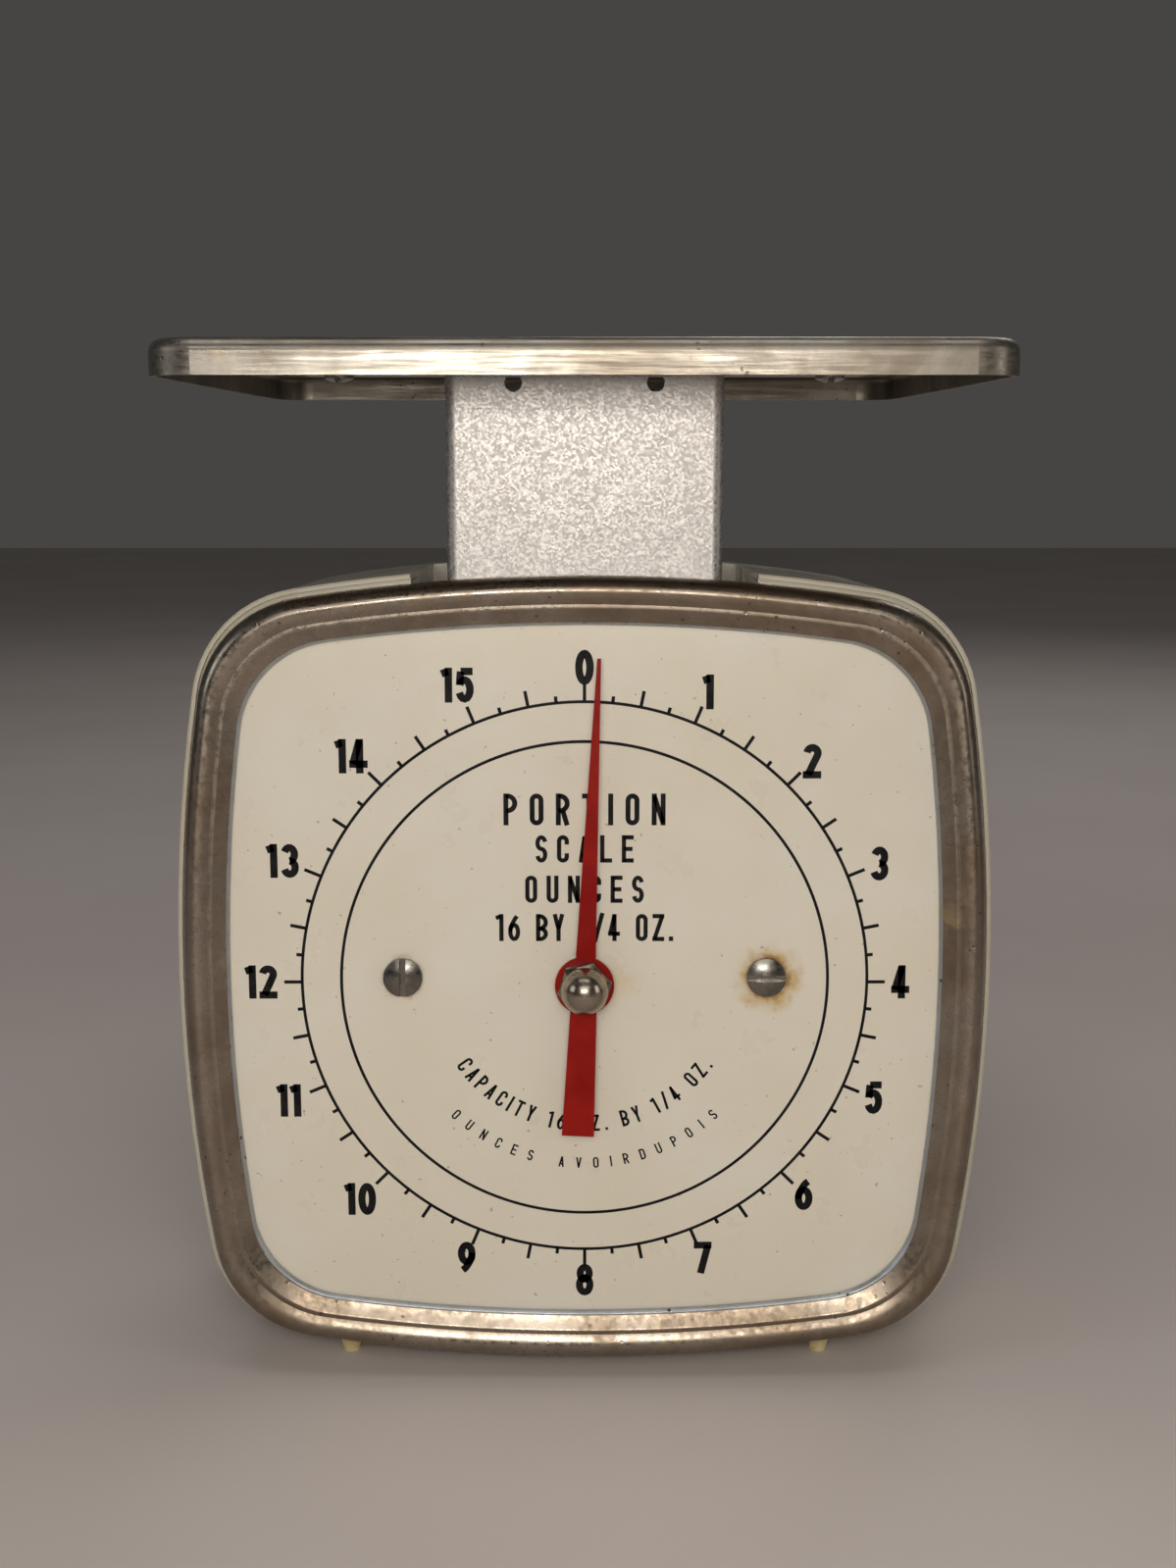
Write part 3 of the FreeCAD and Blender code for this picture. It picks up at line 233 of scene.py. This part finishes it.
def worn_stainless(name, colour, grain_scale, rough=(0.24, 0.46), tarnish=0.7, pits=1.0):
    """Satin sheet: brushed along grain_scale's short way, tarnished brown, pitted and scratched."""
    g = Graph(name, metallic=1.0, roughness=0.35)
    grain = g.noise(1.0, 6, 0.65, vector=g.stretched(grain_scale))
    clouds = g.ramp(g.noise(38, 8, 0.68, 0.6), 0.38, 0.66)
    fine = g.ramp(g.noise(260, 8, 0.7), 0.40, 0.70)
    tint = g.blend(g.times(clouds, tarnish), colour, shade(colour, (0.62, 0.53, 0.43)))
    tint = g.blend(g.times(fine, 0.35), tint, tuple(c * 0.55 for c in colour))
    gold = g.ramp(g.noise(70, 4, 0.6, 0.4), 0.64, 0.74, 0.0, 0.45)
    tint = g.blend(gold, tint, (0.60, 0.46, 0.24))
    spots = g.ramp(g.cells(620), 0.10, 0.24, 1.0, 0.0)
    where = g.ramp(g.noise(110, 4, 0.6), 0.52, 0.62)
    pit = g.times(g.times(spots, where), pits)
    tint = g.blend(g.times(pit, 0.8), tint, (0.10, 0.065, 0.04))
    roughness = g.sum(g.ramp(grain, 0.3, 0.7, rough[0], rough[1]), g.times(clouds, 0.12))
    normal = g.bump(grain, 0.00002, 0.35)
    normal = g.bump(g.sum(1.0, pit, "SUBTRACT"), 0.00006, 0.6, normal)
    normal = g.bump(g.noise(55, 3, 0.5), 0.0002, 0.18, normal)
    return g.finish(tint, roughness, normal)


def zinc_spangle():
    """Bright zinc plate: a sparkling orange-peel skin of fine flakes with pale tints."""
    g = Graph("zinc_spangle", metallic=1.0, roughness=0.36)
    flakes = g.cells(2600, "Color")
    tone = g.part("X", flakes)
    tint = g.blend(g.ramp(tone, 0.0, 1.0), (0.41, 0.39, 0.37), (0.69, 0.66, 0.63))
    tint = g.blend(g.ramp(g.part("Y", flakes), 0.6, 1.0, 0.0, 0.30), tint, (0.56, 0.45, 0.42))
    tint = g.blend(g.ramp(g.part("Z", flakes), 0.6, 1.0, 0.0, 0.22), tint, (0.42, 0.49, 0.46))
    tint = g.blend(g.ramp(g.noise(45, 6, 0.65), 0.55, 0.80, 0.0, 0.30), tint, (0.34, 0.31, 0.27))
    peel = g.noise(850, 4, 0.6)
    rough = g.ramp(tone, 0.0, 1.0, 0.40, 0.62)
    normal = g.bump(peel, 0.00006, 0.6)
    return g.finish(tint, rough, g.bump(g.noise(180, 3, 0.5), 0.00015, 0.35, normal))


def turned_metal(name, colour, low, high, stain=0.4, dirt=(0.10, 0.075, 0.05)):
    """Small hardware: fine tool marks, a patchy stain and dirt held in the rough patches."""
    g = Graph(name, metallic=1.0, roughness=(low + high) / 2)
    patches = g.ramp(g.noise(300, 6, 0.65), 0.42, 0.68, 0.0, stain)
    tint = g.blend(patches, colour, tuple(c * 0.5 for c in colour))
    tint = g.blend(g.ramp(g.noise(1500, 4, 0.6), 0.66, 0.74, 0.0, 0.7), tint, dirt)
    rough = g.ramp(g.noise(700, 5, 0.6), 0.3, 0.7, low, high)
    return g.finish(tint, rough, g.bump(g.noise(1200, 3, 0.5), 0.00002, 0.4))


def red_enamel():
    """The pointer's paint: thin, a little uneven, with tiny chips along it."""
    red = (0.25, 0.004, 0.002)
    g = Graph("pointer_red", roughness=0.38)
    g.shader.inputs["Specular IOR Level"].default_value = 0.14
    tint = g.blend(g.ramp(g.noise(150, 5, 0.6), 0.35, 0.65), red, (0.32, 0.010, 0.005))
    tint = g.blend(g.ramp(g.noise(1100, 3, 0.5), 0.72, 0.76, 0.0, 0.6), tint, (0.12, 0.02, 0.015))
    rough = g.ramp(g.noise(350, 5, 0.6), 0.3, 0.7, 0.30, 0.48)
    return g.finish(tint, rough, g.bump(g.noise(600, 3, 0.5), 0.00002, 0.4))


def old_plastic():
    """Yellowed, slightly waxy foot plastic."""
    g = Graph("foot_plastic", roughness=0.5)
    g.shader.inputs["Subsurface Weight"].default_value = 0.15
    g.shader.inputs["Subsurface Radius"].default_value = (0.002, 0.0014, 0.0007)
    tint = g.blend(g.ramp(g.noise(200, 5, 0.6), 0.35, 0.65), (0.78, 0.66, 0.36), (0.66, 0.52, 0.25))
    tint = g.blend(g.ramp(g.noise(800, 4, 0.6), 0.62, 0.72, 0.0, 0.5), tint, (0.22, 0.16, 0.09))
    rough = g.ramp(g.noise(400, 4), 0.3, 0.7, 0.42, 0.6)
    return g.finish(tint, rough, g.bump(g.noise(900, 3), 0.00003, 0.4))


def black_rubber():
    g = Graph("bumper_rubber", roughness=0.8)
    tint = g.blend(g.ramp(g.noise(500, 5, 0.6), 0.35, 0.65), (0.018, 0.018, 0.018), (0.05, 0.047, 0.043))
    rough = g.ramp(g.noise(300, 4), 0.3, 0.7, 0.7, 0.9)
    return g.finish(tint, rough, g.bump(g.noise(1500, 3), 0.00005, 0.5))


def printing_ink():
    """Black screen ink, worn through in the finest specks."""
    g = Graph("dial_ink", roughness=0.45)
    g.shader.inputs["Specular IOR Level"].default_value = 0.10
    tint = g.blend(g.ramp(g.noise(300, 5, 0.6), 0.35, 0.65), (0.006, 0.006, 0.007), (0.016, 0.015, 0.015))
    tint = g.blend(g.ramp(g.noise(2500, 3, 0.6), 0.74, 0.80, 0.0, 0.4), tint, (0.20, 0.19, 0.16))
    rough = g.ramp(g.noise(700, 4), 0.3, 0.7, 0.38, 0.55)
    return g.finish(tint, rough, g.bump(g.noise(1500, 2), 0.00001, 0.3))


def wear(node_names, material):
    """Gives CAD nodes their material."""
    for name in node_names:
        slots = nodes[name].data.materials
        slots.clear()
        slots.append(material)


case_cream = (0.60, 0.555, 0.45)
steel = turned_metal("plain_steel", (0.52, 0.50, 0.47), 0.25, 0.45)
nickel = turned_metal("nickel_plate", (0.36, 0.31, 0.25), 0.16, 0.30, 0.5)
screw_metal = turned_metal("screw_plate", (0.24, 0.225, 0.20), 0.22, 0.36, 0.6)
brass = turned_metal("turned_brass", (0.68, 0.50, 0.20), 0.22, 0.42)
spring_wire = turned_metal("spring_wire", (0.36, 0.36, 0.37), 0.25, 0.42)
zinc = zinc_spangle()
ink = printing_ink()
# The bezel's brown base colour and heavy tarnish are partly real tarnish and partly a painted reflection of
# brown surroundings on its slope.
bezel_tarnish_and_painted_reflection = worn_stainless("bezel_stainless_tarnish_and_painted_reflection", (0.34, 0.29, 0.235), (900, 900, 900), (0.20, 0.38), 0.85)
lip_metal = worn_stainless("lip_stainless", (0.50, 0.53, 0.56), (900, 900, 900), (0.30, 0.46), 0.2, 1.8)
tray_metal = worn_stainless("tray_stainless", (0.31, 0.285, 0.245), (60, 1500, 1500), tarnish=0.7, pits=0.8)

wear(["case_band", "rear_cover"], cream_enamel("case_enamel", case_cream))
wear(["dial_plate"], dial_enamel())
wear(["platform"], tray_metal)
wear(["post", "yoke", "platform_spider", "chassis", "bearing_bridge", "spring_bridge", "upper_lever",
      "lower_lever"], zinc)
wear(["acorn_nut"], nickel)
wear(["dial_screws"], screw_metal)
wear(["cover_screws", "dial_standoffs", "chassis_screws", "chassis_spacers", "upper_pivot_rod",
      "lower_pivot_rod", "pivot_clips", "bearing_screws", "bridge_screws", "yoke_studs", "yoke_rivets",
      "spring_anchor", "rack_rivet", "spider_rivets", "spider_screws", "spindle_clip",
      "zero_hook_bolt"], steel)
wear(["main_spring"], spring_wire)
wear(["front_bush", "rear_bush", "rack", "spindle_pinion", "zero_knob"], brass)
wear(["pointer"], red_enamel())
wear(["front_feet", "rear_feet"], old_plastic())
wear(["stop_bumper"], black_rubber())


# ================================================================ shapes
def keep(name, bm, body, material, smooth=True):
    """Turns a bmesh into a piece that rides on a CAD body."""
    mesh = bpy.data.meshes.new(name)
    bm.to_mesh(mesh)
    bm.free()
    for face in mesh.polygons:
        face.use_smooth = smooth
    mesh.materials.append(material)
    piece = bpy.data.objects.new(name, mesh)
    bpy.context.scene.collection.objects.link(piece)
    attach(piece, body)
    return piece


def bowed_square(half_width, half_height, bow, corner, steps):
    """Points (x, z) round a square with bowed sides and round corners, anticlockwise from +X."""
    side, top, reach = half_width - bow, half_height - bow, bow - corner
    half_gap = math.hypot(side, top) / 2
    out = math.sqrt(reach ** 2 - half_gap ** 2) / (2 * half_gap)
    kx, kz = side / 2 - top * out, top / 2 - side * out
    low, high = math.atan2(kz, kx - side), math.atan2(kz - top, kx)
    arcs = [(side, 0, bow, 0, low), (kx, kz, corner, low, high), (0, top, bow, high, math.pi / 2)]
    quarter = []
    for x, z, radius, start, end in arcs:
        for k in range(steps):
            angle = start + (end - start) * k / steps
            quarter.append((x + radius * math.cos(angle), z + radius * math.sin(angle)))
    turned = [(-x, z) for x, z in reversed(quarter[1:])]
    upper = quarter + [(0, half_height)] + turned + [(-half_width, 0)]
    lower = [(x, -z) for x, z in reversed(upper[1:-1])]
    return upper + lower


def loft(rings, closed=True):
    """A bmesh skin through rings of equal length; closed joins the last ring to the first."""
    bm = bmesh.new()
    rows = [[bm.verts.new(p) for p in ring] for ring in rings]
    count = len(rows[0])
    pairs = list(zip(rows, rows[1:] + rows[:1])) if closed else list(zip(rows, rows[1:]))
    for a, b in pairs:
        for k in range(count):
            bm.faces.new((a[k], a[(k + 1) % count], b[(k + 1) % count], b[k]))
    bmesh.ops.recalc_face_normals(bm, faces=bm.faces)
    return bm


def through(points, steps):
    """A smooth Catmull-Rom line through 2-D points."""
    line = []
    ends = [points[0]] + points + [points[-1]]
    for a, b, c, d in zip(ends, ends[1:], ends[2:], ends[3:]):
        for k in range(steps):
            t = k / steps
            line.append(tuple(0.5 * (2 * q + (r - p) * t + (2 * p - 5 * q + 4 * r - s) * t * t
                                     + (3 * q - p - 3 * r + s) * t ** 3)
                              for p, q, r, s in zip(a, b, c, d)))
    return line + [points[-1]]


# ---------------------------------------------------------------- bezel
bezel_centre_z = (bezel_low.z + bezel_high.z) / 2
# half width, half height, bow radius and corner radius of each outline
bezel_outer = (bezel_high.x, (bezel_high.z - bezel_low.z) / 2, 300 * MM, 19 * MM)
bezel_window = (58.8 * MM, 58.7 * MM, 310 * MM, 16.5 * MM)
lip_start = 6.0 * MM            # from the outer edge in to the pitted lip
bezel_sheet = 0.8 * MM


def bezel():
    """A pressed ring: a rolled outer bead, then a long slope in to a narrow lip over the dial."""
    width = bezel_outer[0] - bezel_window[0]
    front = dial_face_y - bezel_low.y              # how far the crest stands in front of the dial
    rear = dial_face_y - bezel_high.y
    # (inward from the outer edge, in front of the dial), both in millimetres
    face = [(0.0, -1.6), (0.0, 0.3), (0.14, 1.35), (0.55, 2.4), (1.2, 3.1), (2.0, 3.42), (2.9, 3.28),
            (3.7, 2.92), (4.5, 2.42), (5.3, 1.92),
            (6.0, 1.52), (6.6, 1.22), (7.2, 0.98)]
    line = [(u * MM, p * MM) for u, p in through(face, 4)]
    line = [(u, min(p, front)) for u, p in line]
    edge = [(width, 0.42 * MM), (width, 0.25 * MM), (width - 0.3 * MM, 0.15 * MM)]
    back = [(min(u + bezel_sheet, width - 0.5 * MM), min(p, front - bezel_sheet) - 0.1 * MM)
            for u, p in reversed(line[8:-6])]
    skirt = [(0.9 * MM + bezel_sheet, 0.2 * MM), (0.9 * MM + bezel_sheet, rear), (0.9 * MM, rear),
             (0.9 * MM, -1.6 * MM)]
    profile = line + edge + back + skirt
    rings = []
    for u, forward in profile:
        share = u / width
        shape = [a + (b - a) * share for a, b in zip(bezel_outer, bezel_window)]
        rings.append([(x, dial_face_y - forward, bezel_centre_z + z) for x, z in bowed_square(*shape, 20)])
    piece = keep("bezel_ring", loft(rings), "scale_body", bezel_tarnish_and_painted_reflection)
    piece.data.materials.append(lip_metal)
    row = len(piece.data.polygons) // len(profile)
    for face in piece.data.polygons:
        place = face.index // row
        face.material_index = int(place < len(line) + len(edge) and profile[place][0] > lip_start)
    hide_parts("front_bezel")


bezel()


# ---------------------------------------------------------------- printed dial
def printed(name, bm):
    return keep(name, bm, "scale_body", ink, smooth=False)


def add_ring(bm, radius, width, steps=256):
    """A thin raised ring of ink on the dial."""
    rows = []
    for r in (radius - width / 2, radius + width / 2):
        for y in (dial_face_y, dial_face_y - ink_depth):
            rows.append([bm.verts.new((r * math.cos(a), y, axis_z + r * math.sin(a)))
                         for a in (2 * math.pi * k / steps for k in range(steps))])
    inner_back, inner_front, outer_back, outer_front = rows
    for a, b in ((inner_back, inner_front), (inner_front, outer_front), (outer_front, outer_back),
                 (outer_back, inner_back)):
        for k in range(steps):
            n = (k + 1) % steps
            bm.faces.new((a[k], b[k], b[n], a[n]))


def add_tick(bm, turn, start, length, width):
    """A thin bar of ink that points outwards, turned clockwise from the top."""
    place = Matrix.Rotation(turn, 4, "Y")
    block = bmesh.ops.create_cube(bm, size=1.0)["verts"]
    scale = Matrix.Diagonal((width, ink_depth, length, 1))
    move = Matrix.Translation((0, -ink_depth / 2, start + length / 2))
    bmesh.ops.transform(bm, matrix=Matrix.Translation(axis) @ place @ move @ scale, verts=block)


def dial_scale():
    bm = bmesh.new()
    add_ring(bm, tick_circle, line_width)
    add_ring(bm, inner_circle, line_width)
    steps = ounces * len(tick_lengths)
    for k in range(steps):
        add_tick(bm, 2 * math.pi * k / steps, tick_circle, tick_lengths[k % 4], tick_width)
    bmesh.ops.recalc_face_normals(bm, faces=bm.faces)
    printed("dial_graduations", bm)


# ---------------------------------------------------------------- lettering, drawn with one even stroke
def arc(cx, cy, rx, ry, start, end, steps=12):
    """Points of an ellipse's arc; the angles are in degrees, anticlockwise from +X."""
    angles = [math.radians(start + (end - start) * k / steps) for k in range(steps + 1)]
    return [(cx + rx * math.cos(a), cy + ry * math.sin(a)) for a in angles]


def letter_lines(letter, t, w):
    """A condensed letter one unit high and w wide, as centre lines for a stroke t wide."""
    left, right, foot, head = t / 2, w - t / 2, t / 2, 1 - t / 2
    mid, rad = w / 2, (w - t) / 2
    top = arc(mid, head - rad, rad, rad, 0, 180)
    base = arc(mid, foot + rad, rad, rad, 180, 360)
    stem = [(left, 0), (left, 1)]
    small = (head - 0.46) / 2
    big = (0.46 - foot) / 2
    bowl = [(left, head)] + arc(right - small, head - small, small, small, 90, -90) + [(left, 0.46)]
    curl = (head - 0.5) / 2
    lines = {
        "O": [top + base + top[:1]],
        "C": [[(right, 0.66)] + top + base + [(right, 0.34)]],
        "U": [[(left, 1)] + base + [(right, 1)]],
        "D": [stem, [(left, head)] + arc(mid, head - rad, rad, rad, 90, 0)
              + arc(mid, foot + rad, rad, rad, 0, -90)
              + [(left, foot)]],
        "P": [stem, bowl],
        "R": [stem, bowl, [(mid, 0.46), (right, 0)]],
        "B": [stem, bowl, [(left, 0.46)] + arc(right - big, foot + big, big, big, 90, -90) + [(left, foot)]],
        "E": [stem, [(left, head), (w, head)], [(left, 0.5), (w * 0.9, 0.5)], [(left, foot), (w, foot)]],
        "L": [stem, [(left, foot), (w, foot)]],
        "T": [[(0, head), (w, head)], [(mid, 0), (mid, head)]],
        "I": [stem],
        "N": [stem, [(right, 0), (right, 1)], [(left, 1 - t / 2), (right, t / 2)]],
        "A": [[(left, 0), (mid, 1 - t / 4)], [(mid, 1 - t / 4), (right, 0)], [(left, 0.28), (right, 0.28)]],
        "V": [[(left, 1), (mid, t / 4)], [(mid, t / 4), (right, 1)]],
        "Y": [[(left, 1), (mid, 0.45)], [(mid, 0.45), (right, 1)], [(mid, 0), (mid, 0.5)]],
        "Z": [[(0, head), (w, head)], [(right, head), (left, foot)], [(0, foot), (w, foot)]],
        "S": [arc(mid, head - curl, rad, curl, 12, 270) + arc(mid, foot + curl, rad, curl, 90, -168)[1:]],
        "/": [[(left, -0.04), (right, 1.04)]],
        ".": [[(left, 0), (left, t * 1.1)]],
        "0": [arc(mid, 0.5, rad, 0.5 - t / 2, 0, 360, 28)],
        "1": [[(right, 0), (right, 1)], [(right, head), (right - 0.20, head - 0.07)]],
        "2": [arc(mid, head - rad, rad, rad, 172, -28) + [(left + t * 0.2, foot)], [(0, foot), (w, foot)]],
        "3": [arc(mid, head - curl, rad * 0.92, curl, 160, -90), arc(mid, foot + curl, rad, curl, 90, -164)],
        "4": [[(right - 0.12, 0), (right - 0.12, 1)], [(right - 0.12, 0.97), (left, 0.27)],
              [(0, 0.27), (w, 0.27)]],
        "5": [[(left + 0.05, head), (w - 0.03, head)], [(left + 0.05, head), (left + 0.02, 0.50)],
              [(left + 0.02, 0.52)] + arc(mid, foot + 0.27, rad, 0.27, 132, -160)],
        "6": [arc(mid, foot + 0.26, rad, 0.26, 0, 360, 24),
              through([(right - 0.03, head), (mid + 0.02, 0.80), (left + 0.02, 0.52), (left, 0.34)], 5)],
        "7": [[(0, head), (w, head)], [(right, head), (mid - 0.06, 0)]],
        "8": [arc(mid, head - 0.19, rad * 0.86, 0.19, 0, 360, 24),
              arc(mid, foot + 0.23, rad, 0.23, 0, 360, 24)],
    }
    if letter == "9":
        return [[(w - x, 1 - y) for x, y in line] for line in letter_lines("6", t, w)]
    return lines[letter]


def add_stroke(bm, line, t, place):
    """A flat ribbon t wide along a line, put on the dial by the matrix."""
    closed = math.dist(line[0], line[-1]) < 1e-6
    points = [Vector(p) for p in (line[:-1] if closed else line)]
    count = len(points)
    rows = []
    for k, here in enumerate(points):
        before = points[k - 1] if k or closed else here
        after = points[(k + 1) % count] if k < count - 1 or closed else here
        into = (here - before).normalized() if before != here else (after - here).normalized()
        out = (after - here).normalized() if after != here else into
        along = (into + out).normalized()
        side = Vector((-along.y, along.x)) * (t / 2) / max(0.6, along.dot(into))
        rows.append([bm.verts.new(place @ Vector((*(here + s * side), 0))) for s in (-1, 1)])
    pairs = list(zip(rows, rows[1:])) + ([(rows[-1], rows[0])] if closed else [])
    for a, b in pairs:
        bm.faces.new((a[0], b[0], b[1], a[1]))


def letter_width(letter, t, w):
    """Narrow letters take less room than the rest."""
    return {"I": t, ".": t, " ": w * 0.55, "1": 0.20 + t / 2, "/": w * 0.9}.get(letter, w)


def on_dial(turn, radius, lean, height):
    """From letter space (1 high, feet at 0) to the dial, at a radius and clockwise turn from the top."""
    spot = Matrix.Rotation(turn, 4, "Y") @ Vector((0, -ink_depth, radius))
    upright = Matrix.Rotation(math.pi / 2, 4, "X")
    middle = Matrix.Translation((0, -height / 2, 0)) @ Matrix.Diagonal((height, height, 1, 1))
    return Matrix.Translation(axis + spot) @ Matrix.Rotation(lean, 4, "Y") @ upright @ middle


def add_words(bm, words, height, t, w, radius, turn, width=None, gap=0.14):
    """Upright words centred on a point of the dial, spaced to a given width or by a gap."""
    widths = [letter_width(c, t, w) for c in words]
    if width:
        gap = (width / height - sum(widths)) / (len(words) - 1)
    at = -(sum(widths) + gap * (len(words) - 1)) / 2
    place = on_dial(turn, radius, 0.0, height)
    for letter, wide in zip(words, widths):
        if letter != " ":
            for line in letter_lines(letter, t, wide if letter in "1I." else w):
                add_stroke(bm, [(x + at, y) for x, y in line], t, place)
        at += wide + gap


def add_arc_words(bm, words, height, t, w, radius, sweep):
    """Letters set round the lower half of the dial, their feet towards the rim."""
    widths = [letter_width(c, t, w) for c in words]
    gap = (sweep * radius / height - sum(widths)) / (len(words) - 1)
    at = 0.0
    for letter, wide in zip(words, widths):
        middle = (at + wide / 2) * height / radius
        at += wide + gap
        if letter == " ":
            continue
        turn = math.pi + sweep / 2 - middle
        place = on_dial(turn, radius, turn + math.pi, height)
        for line in letter_lines(letter, t, wide if letter in "1I." else w):
            add_stroke(bm, [(x - wide / 2, y) for x, y in line], t, place)


def dial_numbers():
    bm = bmesh.new()
    for k in range(ounces):
        radius = wide_number_radius if k > 9 else number_radius
        add_words(bm, str(k), number_height, 0.215, 0.53, radius, 2 * math.pi * k / ounces, gap=0.085)
    printed("dial_numbers", bm)


def dial_words():
    """Plain generic wording in place of the maker's lines."""
    bm = bmesh.new()
    for words, height, up, width in (("PORTION", 5.3, 29.2, 26.6), ("SCALE", 4.6, 22.6, 16.2),
                                     ("OUNCES", 4.6, 15.8, 19.6), ("16 BY 1/4 OZ.", 4.6, 9.3, 29.4)):
        add_words(bm, words, height * MM, 0.155, 0.43, up * MM, 0.0, width * MM)
    add_arc_words(bm, "CAPACITY 16 OZ. BY 1/4 OZ.", 2.9 * MM, 0.15, 0.45, 24.6 * MM, math.radians(112))
    add_arc_words(bm, "OUNCES AVOIRDUPOIS", 1.9 * MM, 0.15, 0.50, 31.6 * MM, math.radians(88))
    printed("dial_words", bm)


dial_scale()
dial_numbers()
dial_words()


# ================================================================ floor, light and camera
def stage_floor():
    """A plain pale sheet under the object."""
    bm = bmesh.new()
    bmesh.ops.create_grid(bm, x_segments=1, y_segments=1, size=3.0)
    mesh = bpy.data.meshes.new("floor")
    bm.to_mesh(mesh)
    bm.free()
    g = Graph("floor_paper", roughness=0.85)
    tint = g.blend(g.ramp(g.noise(6, 3), 0.3, 0.7), (0.56, 0.50, 0.47), (0.60, 0.54, 0.51))
    mesh.materials.append(g.finish(tint))
    floor = bpy.data.objects.new("floor", mesh)
    bpy.context.scene.collection.objects.link(floor)


def area_light(name, place, target, size, power, colour):
    data = bpy.data.lights.new(name, "AREA")
    data.shape = "RECTANGLE"
    data.size, data.size_y = size
    data.energy = power
    data.color = colour
    lamp = bpy.data.objects.new(name, data)
    lamp.location = place
    lamp.rotation_euler = (Vector(target) - Vector(place)).to_track_quat("-Z", "Y").to_euler()
    bpy.context.scene.collection.objects.link(lamp)


def camera():
    """The photograph's viewpoint: 311 mm in front of the dial, a little above it, tipped down."""
    data = bpy.data.cameras.new("camera")
    data.sensor_fit = "VERTICAL"
    data.sensor_height = 24.0
    frame_height, focal_length = 1599, 1965
    data.lens = data.sensor_height * focal_length / frame_height
    data.clip_start = 0.01
    view = bpy.data.objects.new("camera", data)
    view.location = axis + Vector((0.00030, -0.3109, 0.0863))
    view.rotation_euler = (math.radians(90 - 9.65), 0, math.radians(-0.05))
    bpy.context.scene.collection.objects.link(view)
    bpy.context.scene.camera = view


def lights():
    """A small key just above the viewpoint, a high front strip, a broad top light, weak sides and rear."""
    middle = (0, 0, 0.09)
    area_light("key", (-0.01, -0.372, 0.178), (0, 0, 0.10), (0.16, 0.05), 0.50, (1.0, 0.95, 0.885))
    area_light("high_front", (0.0, -0.75, 0.56), middle, (0.7, 0.16), 0.75, (1.0, 0.965, 0.91))
    area_light("top", (0.0, -0.25, 1.1), middle, (0.8, 0.5), 2.2, (1.0, 0.96, 0.93))
    area_light("left", (-0.9, -0.45, 0.40), middle, (0.4, 0.4), 0.8, (0.92, 0.96, 1.0))
    area_light("right", (0.9, -0.40, 0.35), middle, (0.3, 0.5), 0.8, (1.0, 0.95, 0.88))
    area_light("rear", (0.3, 0.9, 0.8), middle, (0.6, 0.4), 1.6, (1.0, 0.98, 0.96))
    world = bpy.data.worlds.new("studio")
    world.use_nodes = True
    world.node_tree.nodes["Background"].inputs["Color"].default_value = (0.17, 0.165, 0.16, 1)
    world.node_tree.nodes["Background"].inputs["Strength"].default_value = 0.36
    bpy.context.scene.world = world
    bpy.context.scene.view_settings.view_transform = "Standard"


stage_floor()
lights()
camera()

bpy.context.view_layer.update()
